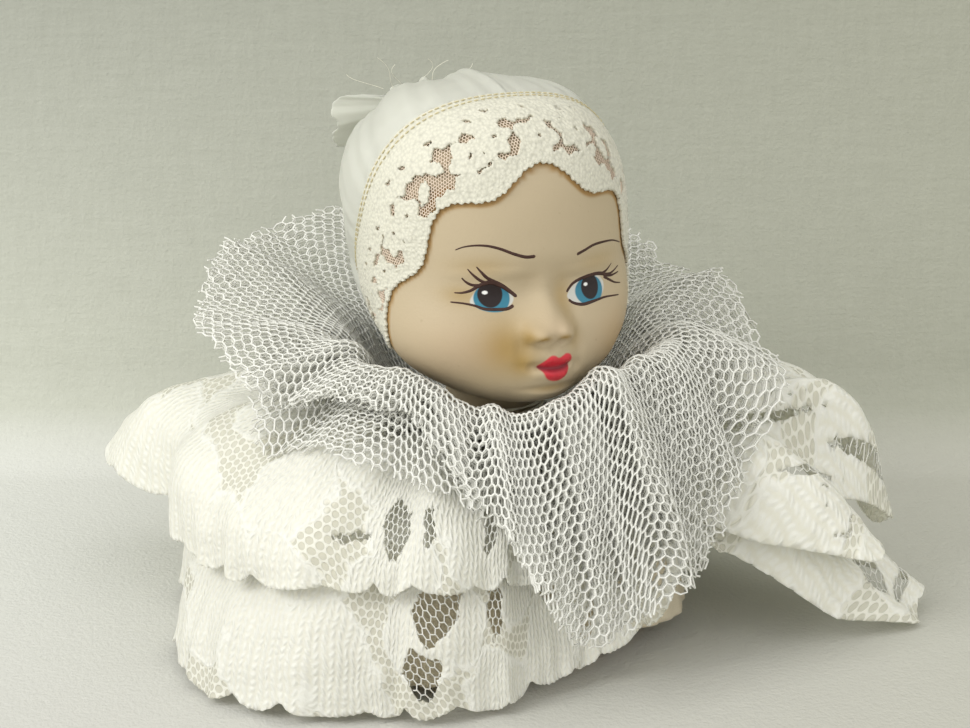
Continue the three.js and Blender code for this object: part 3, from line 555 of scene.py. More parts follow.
class ClothRing:
    """One gathered ring of cloth: places on the flat strip, in millimetres, and where they lie."""

    COLUMNS = 1080
    ROWS = 120
    # The hem flutes, so it is drawn a little longer than the cut strip
    HEM_EASE = 0.86

    def __init__(self, layer, yoke, size, stations, folds=(), gathers=0.8):
        at = np.array([s[0] for s in stations] + [stations[0][0] + 360.0])
        table = np.array([s[1] for s in stations] + [stations[0][1]])
        degrees = np.linspace(-180, 180, self.COLUMNS + 1)
        span = np.clip(np.searchsorted(at, degrees, side="right") - 1, 0, len(at) - 2)
        share = fade(degrees, at[span], at[span + 1])[:, None, None]
        shares = table[span] * (1 - share) + table[span + 1] * share
        collar = LOWEST_COLLAR + layer * STACK_STEP
        ends = np.array([[COLLAR_RADIUS, collar], [yoke[0], collar + yoke[1]]])
        outline = np.concatenate([np.broadcast_to(ends, (len(degrees), 2, 2)), shares * np.array(size)], axis=1)
        steps = outline.shape[1] - 1
        t = np.linspace(0, steps, self.ROWS + 1)
        k = np.minimum(t.astype(int), steps - 1)
        u = (t - k)[None, :, None]
        a, b, c, d = (outline[:, np.clip(k + n, 0, steps)] for n in (-1, 0, 1, 2))
        line = b + 0.5 * u * (c - a + u * (2 * a - 5 * b + 4 * c - d + u * (3 * (b - c) + d - a)))
        radius, height = line[..., 0], line[..., 1]
        slope = unit(np.gradient(line, axis=1))
        turn = (np.radians(degrees) + CLOTHES_TURN)[:, None]
        bent = turn + 0.05 * np.sin(radius / 8 + 3 * turn)
        depth = (FOLD_DEPTH * fade(radius, FOLD_START, FOLD_FULL) * fold_wave(turn)
                 + gathers * fade(radius, 12, 24) * (1 - 0.8 * fade(radius, 26, 44)) * gather_wave(bent)
                 + gathers * fade(radius, 20, 40) * broad_wave(turn, radius))
        for start, lean, push, breadth in folds:
            away = (degrees[:, None] - start - lean * (radius - 20) + 180) % 360 - 180
            depth = depth + push * np.exp(-(away / breadth) ** 2) * fade(radius, 13, 28)
        flutter = 0.6 * np.sin(31 * turn + 1) + 0.4 * np.sin(47 * turn) + 0.3 * np.sin(71 * turn + 2)
        depth = depth + 0.7 * fade(t / steps, 0.72, 1)[None, :] * flutter
        slide = 0.8 * fade(radius, 18, 40) * np.sin(11 * turn + 0.6)
        radius = radius - slope[..., 1] * depth
        height = height + slope[..., 0] * depth
        around = turn + slide / np.maximum(radius, 10)
        place = np.stack([radius * np.sin(around), -radius * np.cos(around), height], -1)
        place = self.even_rows(place)
        place[-1] = place[0]
        along = np.gradient(place, axis=0)
        along[0] = along[-1] = place[1] - place[-2]
        down = np.gradient(place, axis=1)
        self.normals = unit(np.cross(down, along))
        self.places = place
        self.widths = np.linalg.norm(np.diff(place, axis=1), axis=-1).sum(1)
        hem = np.linalg.norm(np.diff(place[:, -1], axis=0), axis=-1).sum()
        self.length = float(hem) * self.HEM_EASE
        self.width = float(self.widths.max())

    def even_rows(self, place):
        """Spaces each column's points evenly along it."""
        run = np.concatenate([np.zeros((len(place), 1)),
                              np.cumsum(np.linalg.norm(np.diff(place, axis=1), axis=-1), axis=1)], 1)
        even = np.linspace(0, 1, self.ROWS + 1)
        out = np.empty_like(place)
        for i in range(len(place)):
            for axis in range(3):
                out[i, :, axis] = np.interp(even * run[i, -1], run[i], place[i, :, axis])
        return out

    def width_at(self, u):
        return np.interp(np.mod(u, self.length), np.linspace(0, self.length, self.COLUMNS + 1), self.widths)

    def lay(self, flat, lift=0.0):
        """Where flat places lie, and which way the cloth faces there."""
        column = np.clip(flat[:, 0] / self.length, 0, 1) * self.COLUMNS
        row = np.clip(flat[:, 1] / self.width_at(np.clip(flat[:, 0], 0, self.length)), 0, 1) * self.ROWS
        i = np.minimum(column.astype(int), self.COLUMNS - 1)
        j = np.minimum(row.astype(int), self.ROWS - 1)
        x, y = (column - i)[:, None], (row - j)[:, None]

        def between(table):
            near = table[i, j] * (1 - y) + table[i, j + 1] * y
            far = table[i + 1, j] * (1 - y) + table[i + 1, j + 1] * y
            return near * (1 - x) + far * x

        normals = unit(between(self.normals))
        u, v = flat[:, 0], flat[:, 1]
        crease = (0.5 * np.sin(u / 1.7 + 0.5 * v) * np.sin(v / 2.9 + 1) + 0.5 * np.sin(u / 3.7 - v / 3.1)
                  + 0.4 * np.sin(v / 5.3 + u / 9))
        creased = 0.3 * crease * fade(v, 5, 16)
        return between(self.places) + normals * (lift + creased)[:, None], normals


# Lace patterns, as the distance inside the close work, in millimetres
def flower_distance(x, y, centre, size, petals, depth=0.16, lean=0.0):
    dx, dy = x - centre[0], y - centre[1]
    angle = np.arctan2(dy, dx) + lean
    return size * (1 + depth * np.cos(petals * angle)) - np.hypot(dx, dy)


# Openings in the close work: centre along the strip and up from the hem, half length, half height, lean
LACE_REPEAT = 47.0
LACE_OPENINGS = [
    (6.0, 6.6, 4.4, 1.5, 0.4), (17.5, 6.8, 3.6, 1.4, -0.45), (29.5, 6.2, 4.2, 1.4, 0.3), (41.0, 6.9, 4.0, 1.5, -0.4),
    (1.5, 13.6, 2.2, 5.0, 0.2), (23.5, 13.0, 2.4, 5.6, -0.25), (12.4, 24.0, 3.2, 1.5, 0.35), (35.0, 22.6, 3.6, 1.7, -0.35),
    (22.6, 29.5, 3.8, 2.2, 0.5), (44.4, 28.4, 3.0, 2.0, -0.45), (8.5, 37.5, 3.2, 1.8, 0.25), (31.0, 39.5, 3.8, 2.0, -0.3),
]
# Centres of the flowers, whose petals are outlined by little holes and raised cords
LACE_FLOWERS = [((12.0, 14.5), 7.2, 6), ((35.0, 13.4), 6.6, 5), ((46.0, 38.0), 5.2, 5), ((20.0, 42.0), 4.6, 6)]
SCALLOP = 11.75
# Openings that show in front, by place along the strip and up from its hem
UPPER_OPENINGS = [
    (167.6, 11.5, 4.4, 5.2, 0.3), (177.6, 11.4, 1.5, 3.8, 0.1), (156.9, 9.6, 3.2, 1.0, 0.1), (193.2, 11.5, 2.0, 5.4, 0.0),
    (187.0, 22.0, 2.4, 2.0, 0.3), (205.0, 14.0, 2.6, 3.4, 0.3), (218.0, 9.0, 3.2, 1.8, -0.3), (242.0, 10.4, 4.6, 5.6, 0.3),
    (231.5, 20.5, 3.4, 2.0, 0.2), (252.0, 20.0, 2.0, 3.6, 0.0), (266.4, 3.6, 0.8, 3.4, 0.1), (268.6, 4.4, 0.5, 3.6, 0.0),
    (270.4, 6.4, 0.9, 4.4, 0.1), (273.2, 9.0, 0.8, 3.0, -0.2),
]
LOWER_OPENINGS = [
    (170.4, 19.4, 5.0, 5.4, -0.3), (184.4, 19.0, 2.2, 5.4, 0.2), (168.2, 8.2, 4.2, 4.4, 0.2),
    (192.5, 27.5, 2.6, 2.4, 0.2), (205.5, 18.5, 3.2, 3.4, 0.4),
    (219.6, 8.4, 4.2, 3.0, 0.2), (233.0, 12.0, 3.0, 2.2, 0.2), (258.2, 8.0, 1.6, 3.6, 0.1), (261.4, 7.6, 1.6, 4.2, 0.1),
    (264.6, 7.0, 1.2, 4.0, 0.0), (260.4, 17.6, 1.6, 3.4, 0.2), (244.5, 6.0, 3.0, 1.6, 0.1),
]


# Where along the strips the plain stretch at the doll's right begins
PLAIN_START = 72.0


def lace_warp(u, e):
    """Shifts places of the lace so that its repeats are all a little different."""
    return (u + 1.1 * np.sin(0.31 * e + 0.11 * u) + 0.8 * np.sin(0.17 * u + 2),
            e + 0.8 * np.sin(0.29 * u + 0.2 * e) + 0.5 * np.sin(0.83 * u))


def lace_scallop(u):
    """How far the scalloped hem rises above the strip's straight edge."""
    lobe = np.abs(np.sin(np.pi * (u + 1.5 * np.sin(0.23 * u)) / SCALLOP))
    return 0.3 + (1.9 + 0.8 * np.sin(0.19 * u + 1)) * (1 - lobe) ** 1.3 + 0.12 * np.sin(4.3 * u)


def lace_distance(u, e, shift_along, placed):
    """Floral lace: u runs along the strip and e up from its hem."""
    x, y = lace_warp(u, e)
    x = np.mod(x + shift_along, LACE_REPEAT)
    work = np.full(np.shape(u), 4.0)
    for shift in (-LACE_REPEAT, 0, LACE_REPEAT):
        for across, up, length, height, lean in LACE_OPENINGS:
            work = np.minimum(work, -oval_distance(x + shift, y, (across, up), length, height, lean))
        for centre, size, petals in LACE_FLOWERS:
            for k in range(petals):
                turn = 2 * np.pi * (k + 0.5) / petals
                hole = (centre[0] + 0.62 * size * math.cos(turn), centre[1] + 0.62 * size * math.sin(turn))
                work = np.minimum(work, -oval_distance(x + shift, y, hole, 0.75, 0.5, turn))
    low, high = PLAIN_START, max(opening[0] for opening in placed) + 12
    work = work + 4.0 * fade(u, low, low + 12) * (1 - fade(u, high - 8, high))
    x, y = u + 0.5 * np.sin(1.1 * e) + 0.3 * np.sin(2.9 * e), e + 0.5 * np.sin(0.9 * u) + 0.3 * np.sin(2.3 * u)
    for across, up, length, height, lean in placed:
        work = np.minimum(work, -oval_distance(x, y, (across, up), length, height, lean))
    return work + 0.18 * np.sin(4.1 * u + 0.6 * e) * np.sin(3.7 * e) + 0.1 * np.sin(7.3 * e + u)


def band_middle(s):
    return 11.2 + 3.4 * np.minimum(np.abs(s) / 41, 1) ** 2 + 0.4 * np.sin(0.55 * s)


def band_distance(s, t, front):
    """The bonnet's narrow lace: s runs along it, t from the back edge and front to the scalloped edge."""
    work = np.abs(t - band_middle(s)) - (2.8 + 0.5 * np.sin(1.15 * s + 1) + 0.3 * np.sin(2.7 * s))
    for k in range(-9, 10):
        across = 6.3 * k + 1.0 * math.sin(2.1 * k)
        centre = (across, float(band_middle(across)) + 0.8 * (-1) ** k)
        if k % 5 == 2:
            for side in (-1, 1):
                work = np.maximum(work, oval_distance(s, t, (across + 1.7 * side, centre[1] - side), 1.8, 0.95, 0.8 * side))
            continue
        size = 3.15 + 0.3 * math.sin(1.7 * k + 1)
        work = np.maximum(work, flower_distance(s, t, centre, size, 5 + k % 2, 0.17, 0.9 * k))
        work = np.minimum(work, -oval_distance(s, t, (centre[0] + 0.6, centre[1] - 0.3), 0.42, 0.3, 0.5 * k))
    for k in range(-10, 11):
        across = 5.3 * k + 1.2 * math.sin(2.2 * k)
        work = np.minimum(work, -oval_distance(s, t,
                              (across, float(band_middle(across)) - 5.6 + 0.6 * math.sin(1.7 * k)), 0.7, 0.35, 0.5))
    jagged = 0.16 * np.sin(5.1 * s + t) * np.sin(4.7 * t) + 0.08 * np.sin(9.3 * s)
    bumps = 0.16 * np.sin(5.5 * s) + 0.1 * np.sin(2.3 * s)
    return np.minimum(np.minimum(work + jagged, front - t + bumps), t)


# Materials
def plain(red, green, blue, alpha=1.0):
    """A colour as it looks on a screen, turned to the renderer's linear numbers."""
    def linear(value):
        value /= 255
        return value / 12.92 if value <= 0.04045 else ((value + 0.055) / 1.055) ** 2.4
    return (linear(red), linear(green), linear(blue), alpha)


class Amount:
    """A number's socket, whose sums add Math nodes."""

    def __init__(self, finish, socket):
        self.finish = finish
        self.socket = socket

    def _math(self, operation, *values):
        return self.finish.node("ShaderNodeMath", {"operation": operation}, dict(enumerate(values)))

    def __add__(self, other):
        return self._math("ADD", self, other)

    def __radd__(self, other):
        return self._math("ADD", other, self)

    def __sub__(self, other):
        return self._math("SUBTRACT", self, other)

    def __rsub__(self, other):
        return self._math("SUBTRACT", other, self)

    def __mul__(self, other):
        return self._math("MULTIPLY", self, other)

    def __rmul__(self, other):
        return self._math("MULTIPLY", other, self)

    def __truediv__(self, other):
        return self._math("DIVIDE", self, other)

    def sine(self):
        return self._math("SINE", self)

    def clamped(self):
        return self.finish.node("ShaderNodeClamp", {}, {"Value": self})


class Finish:
    """A material with a Principled shader, built one node at a time."""

    def __init__(self, name, glow=0.0, sheer=False, **constants):
        self.material = bpy.data.materials.new(name)
        self.material.use_nodes = True
        self.tree = self.material.node_tree
        self.tree.nodes.clear()
        self.output = self.tree.nodes.new("ShaderNodeOutputMaterial")
        self.shader = self.tree.nodes.new("ShaderNodeBsdfPrincipled")
        for socket, value in constants.items():
            self.shader.inputs[socket.replace("_", " ")].default_value = value
        surface = self.shader
        self.glow = self.veil = None
        if glow:
            self.glow = self.tree.nodes.new("ShaderNodeBsdfTranslucent")
            surface = self.mixed(self.shader, self.glow)
            surface.inputs[0].default_value = glow
        if sheer:
            surface = self.veil = self.mixed(self.tree.nodes.new("ShaderNodeBsdfTransparent"), surface)
        self.tree.links.new(surface.outputs[0], self.output.inputs[0])

    def mixed(self, first, second):
        mix = self.tree.nodes.new("ShaderNodeMixShader")
        self.tree.links.new(first.outputs[0], mix.inputs[1])
        self.tree.links.new(second.outputs[0], mix.inputs[2])
        return mix

    def node(self, kind, settings, inputs, output=0):
        """Adds one node: its settings first, then its sockets' values or links. Gives back its output."""
        node = self.tree.nodes.new(kind)
        for name, value in settings.items():
            setattr(node, name, value)
        for name, value in inputs.items():
            self.feed(node.inputs[name], value)
        return Amount(self, node.outputs[output])

    def feed(self, socket, value):
        if isinstance(value, Amount):
            self.tree.links.new(value.socket, socket)
        else:
            socket.default_value = value

    def place(self):
        return self.node("ShaderNodeTexCoord", {}, {}, "Object")

    def cloth_place(self):
        return self.node("ShaderNodeUVMap", {"uv_map": "flat_cloth"}, {}, 0)

    def parts(self, vector):
        node = self.tree.nodes.new("ShaderNodeSeparateXYZ")
        self.feed(node.inputs[0], vector)
        return [Amount(self, node.outputs[k]) for k in range(3)]

    def stored(self, name):
        return self.node("ShaderNodeAttribute", {"attribute_name": name}, {}, "Fac")

    def noise(self, place, size, detail=2.0, roughness=0.5):
        """Soft noise from 0 to 1 with lumps about size metres across."""
        return self.node("ShaderNodeTexNoise", {},
                         {"Vector": place, "Scale": 1 / size, "Detail": detail, "Roughness": roughness}, "Fac")

    def cells(self, place, size, feature):
        """Distance within an uneven pattern of cells about size metres across, as a share of that size."""
        settings = {"voronoi_dimensions": "2D", "feature": feature}
        return self.node("ShaderNodeTexVoronoi", settings, {"Vector": place, "Scale": 1 / size}, "Distance")

    def bend(self, place, size, reach):
        """A soft random shift of up to about half of reach metres, changing over size metres."""
        colour = self.node("ShaderNodeTexNoise", {}, {"Vector": place, "Scale": 1 / size, "Detail": 1.0}, "Color")
        return self.node("ShaderNodeVectorMath", {"operation": "MULTIPLY"}, {0: colour, 1: (reach, reach, 0)})

    def blend(self, share, first, second):
        return self.node("ShaderNodeMix", {"data_type": "RGBA"}, {"Factor": share, 6: first, 7: second}, 2)

    def edge(self, distance, softness):
        """Goes from 0 to 1 as a stored distance in millimetres passes zero."""
        return (distance / softness + 0.5).clamped()

    def colour(self, value):
        self.feed(self.shader.inputs["Base Color"], value)
        if self.glow:
            self.feed(self.glow.inputs["Color"], value)

    def cover(self, value):
        """How much of a sheer cloth is thread, from 0 to 1."""
        self.feed(self.veil.inputs[0], value)

    def rough(self, value):
        self.feed(self.shader.inputs["Roughness"], value)

    def bump(self, height, depth):
        """Raises the surface by height, where 1 is depth metres."""
        normal = self.node("ShaderNodeBump", {}, {"Height": height, "Distance": depth, "Strength": 1.0}, "Normal")
        self.feed(self.shader.inputs["Normal"], normal)


def bisque_finish(sizes):
    f = Finish("painted_bisque", Specular_IOR_Level=0.4)
    place = f.place()
    tone = f.noise(place, 0.012, 3)
    skin = f.blend(tone, tuple(c * 0.93 for c in sizes.bisque_colour[:3]) + (1,), (*sizes.bisque_colour, 1))
    # Airbrushed tan tint, and painted shade down one side of the nose, beside a nostril wing and under the lower lip
    skin = f.blend(f.stored("airbrush_and_painted_shade"), skin, plain(158, 128, 62))
    skin = f.blend(f.stored("blush"), skin, plain(190, 140, 108))
    skin = f.blend(f.stored("band_shadow"), skin, plain(154, 118, 62))
    speck = f.noise(place, 0.0011, 1)
    skin = f.blend(((speck - 0.72) * 6).clamped() * 0.25, skin, plain(120, 92, 60))
    lips = f.edge(f.stored("lips"), 0.28)
    streak = f.noise(place, 0.0012, 2)
    red = f.blend(streak, plain(196, 40, 54), (*sizes.lip_colour, 1))
    red = f.blend(f.stored("parting") * 0.95, red, plain(112, 22, 36))
    skin = f.blend(lips, skin, red)
    white = f.edge(f.stored("eye_white"), 0.2)
    skin = f.blend(white, skin, plain(196, 196, 190))
    # The iris is tinted darker throughout and darker still toward its top, a painted shadow of the upper lid
    iris = f.blend(f.stored("iris_tint_and_lid_shadow"), (*sizes.iris_colour, 1), plain(30, 84, 112))
    skin = f.blend(f.edge(f.stored("iris"), 0.2), skin, iris)
    skin = f.blend(f.edge(f.stored("pupil"), 0.18), skin, plain(26, 12, 12))
    skin = f.blend(f.edge(f.stored("glint"), 0.15), skin, plain(240, 240, 238))
    f.colour(skin)
    wet = f.edge(f.stored("iris"), 0.2) * 0.12 + lips * 0.12
    f.rough(0.56 - wet)
    f.bump(f.noise(place, 0.0005, 2), 0.00004)
    return f.material


def brush_finish():
    f = Finish("brown_line_paint", Specular_IOR_Level=0.3)
    tone = f.noise(f.place(), 0.0009, 2)
    f.colour(f.blend(tone, plain(48, 28, 24), plain(78, 52, 44)))
    f.rough(tone * 0.2 + 0.4)
    f.bump(tone, 0.00002)
    return f.material


def bonnet_lace_finish(colour):
    """Close lace of the bonnet: loops like small beads."""
    f = Finish("bonnet_lace", glow=0.2, Specular_IOR_Level=0.3, Sheen_Weight=0.25, Sheen_Roughness=0.4)
    flat = f.cloth_place()
    loops = 1 - f.cells(flat, 0.00062, "F1").clamped()
    grain = f.noise(flat, 0.0004, 2)
    height = loops * 0.7 + grain * 0.5
    # Darker where the loops sink, painted shade between the loops, and with the random grain
    f.colour(f.blend((height * 1.3 - 0.2).clamped(), tuple(c * 0.74 for c in colour) + (1,), (*colour, 1)))
    f.rough(grain * 0.25 + 0.55)
    f.bump(height, 0.0002)
    return f.material


def skirt_lace_finish(colour):
    """Sheer lace: ribbed close motifs with corded rims on a fine net ground."""
    f = Finish("skirt_lace", glow=0.35, sheer=True, Specular_IOR_Level=0.25, Sheen_Weight=0.25, Sheen_Roughness=0.4)
    flat = f.node("ShaderNodeVectorMath", {"operation": "ADD"},
                  {0: f.cloth_place(), 1: f.bend(f.cloth_place(), 0.006, 0.0012)})
    bent = f.node("ShaderNodeVectorMath", {"operation": "ADD"},
                  {0: f.cloth_place(), 1: f.bend(f.cloth_place(), 0.005, 0.006)})
    u, v, _ = f.parts(flat)
    wave = 4 * math.pi / math.sqrt(3) / 0.00175
    lean, half = wave * math.sqrt(3) / 2, wave / 2
    quarter = math.pi / 2
    net = (v * wave + quarter).sine() + (u * lean + v * half + quarter).sine() + (u * lean - v * half + quarter).sine()
    thread = ((-0.2 - net) * 1.4).clamped()
    centre = f.cells(bent, 0.016, "F1")
    motif = ((0.56 - centre) * 16).clamped()
    rim = (1 - (centre - 0.53) * 18).clamped() * (1 - (0.53 - centre) * 18).clamped()
    wander = f.noise(flat, 0.006, 2)
    grain = f.noise(flat, 0.0006, 2, 0.7)
    ribs = (u * (2 * math.pi / 0.0013) + wander * 5).sine() * 0.5 + 0.5
    stitches = (v * (2 * math.pi / 0.0016) + (u * (math.pi / 0.0013)).sine() * 2.0 + wander * 9).sine() * 0.5 + 0.5
    close = ribs * stitches * 0.55 + ribs * 0.2 + grain * 0.5
    height = motif * close + thread * (1 - motif) * 0.4 + rim * 0.5
    pale = (*colour, 1)
    # Darker where ribs, stitches, rims and threads sink and in the ground between them, painted shade in the dips, and
    # with the random grain
    f.colour(f.blend((height * 1.2 + 0.25).clamped(),
                     tuple(c * k for c, k in zip(colour, (0.86, 0.84, 0.76))) + (1,), pale))
    f.cover((motif * (close * 0.5 + 0.6) + thread * 0.35 + rim + 0.65).clamped())
    f.rough(grain * 0.25 + 0.6)
    f.bump(height, 0.00028)
    return f.material


def thread_finish(name, colour, glow=0.0):
    f = Finish(name, glow=glow, Specular_IOR_Level=0.3)
    tone = f.noise(f.place(), 0.003, 1)
    f.colour(f.blend(tone, tuple(c * 0.93 for c in colour[:3]) + (1,), (*colour[:3], 1)))
    f.rough(0.6)
    return f.material


def satin_finish(sizes):
    f = Finish("sheer_satin", glow=0.45, Specular_IOR_Level=0.4, Sheen_Weight=0.3, Sheen_Roughness=0.3)
    u, v, _ = f.parts(f.cloth_place())
    weave = ((u * (2 * math.pi / 0.0003)).sine() * (v * (2 * math.pi / 0.0003)).sine()) * 0.5 + 0.5
    soft = f.noise(f.cloth_place(), 0.006, 2)
    f.colour(f.blend(soft, tuple(c * 0.94 for c in sizes.satin_colour) + (1,), (*sizes.satin_colour, 1)))
    f.rough(soft * 0.12 + 0.36)
    f.bump(weave * 0.6 + soft, 0.00006)
    return f.material


def woven_finish(name, first, second, pitch, depth, glow=0.0):
    """Plain woven cloth on Object coordinates."""
    f = Finish(name, glow=glow, Specular_IOR_Level=0.2, Sheen_Weight=0.2, Sheen_Roughness=0.5)
    place = f.place()
    x, y, z = f.parts(place)
    turn = 2 * math.pi / pitch
    over = ((x + y) * turn).sine() * 0.5 + 0.5
    under = (z * turn).sine() * 0.5 + 0.5
    slub = f.noise(place, pitch * 5, 3)
    height = over * under + slub * 0.7
    # Darker in the dips of the weave, painted shade, and at random with the slubs
    f.colour(f.blend((height * 0.7).clamped(), first, second))
    f.rough(slub * 0.15 + 0.75)
    f.bump(height, depth)
    return f.material


# Geometry node trees
def thread_tree(name):
    """Turns the edges of a mesh into round threads."""
    tree = bpy.data.node_groups.new(name, "GeometryNodeTree")
    side = tree.interface
    side.new_socket("Threads", in_out="INPUT", socket_type="NodeSocketGeometry")
    radius = side.new_socket("Thread Radius", in_out="INPUT", socket_type="NodeSocketFloat")
    sides = side.new_socket("Thread Sides", in_out="INPUT", socket_type="NodeSocketInt")
    material = side.new_socket("Material", in_out="INPUT", socket_type="NodeSocketMaterial")
    side.new_socket("Threads", in_out="OUTPUT", socket_type="NodeSocketGeometry")
    nodes, link = tree.nodes, tree.links.new
    start = nodes.new("NodeGroupInput")
    curve = nodes.new("GeometryNodeMeshToCurve")
    circle = nodes.new("GeometryNodeCurvePrimitiveCircle")
    tube = nodes.new("GeometryNodeCurveToMesh")
    tube.inputs["Fill Caps"].default_value = True
    realize = nodes.new("GeometryNodeRealizeInstances")
    paint = nodes.new("GeometryNodeSetMaterial")
    end = nodes.new("NodeGroupOutput")
    link(start.outputs["Threads"], curve.inputs["Mesh"])
    link(start.outputs["Thread Sides"], circle.inputs["Resolution"])
    link(start.outputs["Thread Radius"], circle.inputs["Radius"])
    link(curve.outputs["Curve"], tube.inputs["Curve"])
    link(circle.outputs["Curve"], tube.inputs["Profile Curve"])
    link(tube.outputs["Mesh"], realize.inputs["Geometry"])
    link(realize.outputs["Geometry"], paint.inputs["Geometry"])
    link(start.outputs["Material"], paint.inputs["Material"])
    link(paint.outputs["Geometry"], end.inputs[0])
    return tree, {"radius": radius.identifier, "sides": sides.identifier, "material": material.identifier}


def stitch_tree(name):
    """Lays short stitches along the edges of a mesh, with gaps between them."""
    tree = bpy.data.node_groups.new(name, "GeometryNodeTree")
    side = tree.interface
    side.new_socket("Line", in_out="INPUT", socket_type="NodeSocketGeometry")
    spacing = side.new_socket("Stitch Spacing", in_out="INPUT", socket_type="NodeSocketFloat")
    length = side.new_socket("Stitch Length", in_out="INPUT", socket_type="NodeSocketFloat")
    radius = side.new_socket("Thread Radius", in_out="INPUT", socket_type="NodeSocketFloat")
    material = side.new_socket("Material", in_out="INPUT", socket_type="NodeSocketMaterial")
    side.new_socket("Stitches", in_out="OUTPUT", socket_type="NodeSocketGeometry")
    nodes, link = tree.nodes, tree.links.new
    start = nodes.new("NodeGroupInput")
    curve = nodes.new("GeometryNodeMeshToCurve")
    points = nodes.new("GeometryNodeCurveToPoints")
    points.mode = "LENGTH"
    ball = nodes.new("GeometryNodeMeshUVSphere")
    ball.inputs["Segments"].default_value = 6
    ball.inputs["Rings"].default_value = 5
    ball.inputs["Radius"].default_value = 1.0
    size = nodes.new("ShaderNodeCombineXYZ")
    place = nodes.new("GeometryNodeInstanceOnPoints")
    realize = nodes.new("GeometryNodeRealizeInstances")
    paint = nodes.new("GeometryNodeSetMaterial")
    end = nodes.new("NodeGroupOutput")
    link(start.outputs["Line"], curve.inputs["Mesh"])
    link(curve.outputs["Curve"], points.inputs["Curve"])
    link(start.outputs["Stitch Spacing"], points.inputs["Length"])
    link(points.outputs["Points"], place.inputs["Points"])
    link(points.outputs["Rotation"], place.inputs["Rotation"])
    link(ball.outputs["Mesh"], place.inputs["Instance"])
    link(start.outputs["Thread Radius"], size.inputs["X"])
    link(start.outputs["Thread Radius"], size.inputs["Y"])
    link(start.outputs["Stitch Length"], size.inputs["Z"])
    link(size.outputs["Vector"], place.inputs["Scale"])
    link(place.outputs["Instances"], realize.inputs["Geometry"])
    link(realize.outputs["Geometry"], paint.inputs["Geometry"])
    link(start.outputs["Material"], paint.inputs["Material"])
    link(paint.outputs["Geometry"], end.inputs[0])
    return tree, {"spacing": spacing.identifier, "length": length.identifier,
                  "radius": radius.identifier, "material": material.identifier}


def made_by(tree_and_inputs, piece, **values):
    """Runs a geometry node tree on a piece and keeps the result as its plain mesh."""
    tree, inputs = tree_and_inputs
    modifier = piece.modifiers.new("work", "NODES")
    modifier.node_group = tree
    for name, value in values.items():
        modifier[inputs[name]] = value
    bpy.context.view_layer.update()
    evaluated = piece.evaluated_get(bpy.context.evaluated_depsgraph_get())
    mesh = bpy.data.meshes.new_from_object(evaluated)
    piece.modifiers.remove(modifier)
    piece.data = mesh
    mesh.name = piece.name
    if not len(mesh.polygons):
        raise RuntimeError(f"{piece.name} came out empty")
    return piece


def threads_from_lines(name, lines, radius, sides, material):
    """Round threads along lines of millimetre points."""
    points, edges, start = [], [], 0
    for line in lines:
        points.append(np.asarray(line, float))
        number = np.arange(len(line) - 1) + start
        edges.append(np.stack([number, number + 1], -1))
        start += len(line)
    piece = new_mesh_object(name, np.concatenate(points), None, np.concatenate(edges))
    return made_by(thread_tree(name + "_threads"), piece, radius=radius * MM, sides=sides, material=material)


def finish_piece(piece, body, material=None, replaces=None):
    if material is not None:
        piece.data.materials.clear()
        piece.data.materials.append(material)
    if replaces:
        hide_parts(replaces)
    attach(piece, body)
    return piece


# Settings
def colour_setting(name, description, red, green, blue):
    return bpy.props.FloatVectorProperty(name=name, description=description,
                                         subtype="COLOR", size=3, min=0, max=1, default=plain(red, green, blue)[:3])


def size_setting(name, description, millimetres):
    return bpy.props.FloatProperty(name=name, description=description, default=millimetres * MM,
                                   min=0.00001, subtype="DISTANCE", unit="LENGTH", precision=5)


class DollSettings(bpy.types.PropertyGroup):
    bisque_colour: colour_setting("Bisque", "Skin colour of the painted bisque", 187, 171, 142)
    lip_colour: colour_setting("Lips", "Colour of the painted lips", 212, 52, 66)
    iris_colour: colour_setting("Iris", "Colour of the painted iris", 52, 128, 152)
    band_colour: colour_setting("Bonnet lace", "Colour of the lace on the bonnet", 240, 238, 222)
    lace_colour: colour_setting("Skirt lace", "Colour of the lace of the skirt", 253, 253, 247)
    net_colour: colour_setting("Net", "Colour of the net of the ruffs", 254, 254, 248)
    satin_colour: colour_setting("Satin", "Colour of the bonnet's satin", 243, 244, 236)
    cotton_colour: colour_setting("Underskirt", "Colour of the underskirt", 244, 234, 210)
    muslin_colour: colour_setting("Muslin", "Colour of the cloth body", 196, 158, 126)
    net_cell: size_setting("Net cell", "Width of one cell of the net", 1.95)
    net_thread: size_setting("Net thread", "Radius of the net's thread", 0.225)
    lace_cell: size_setting("Lace cell", "Width of one cell of the lace's net ground", 1.75)
    lace_thread: size_setting("Lace thread", "Radius of the thread of the lace's net ground", 0.14)
    lace_thickness: size_setting("Lace thickness", "Thickness of the close lace work", 0.3)


def settings():
    return bpy.context.scene.doll_settings
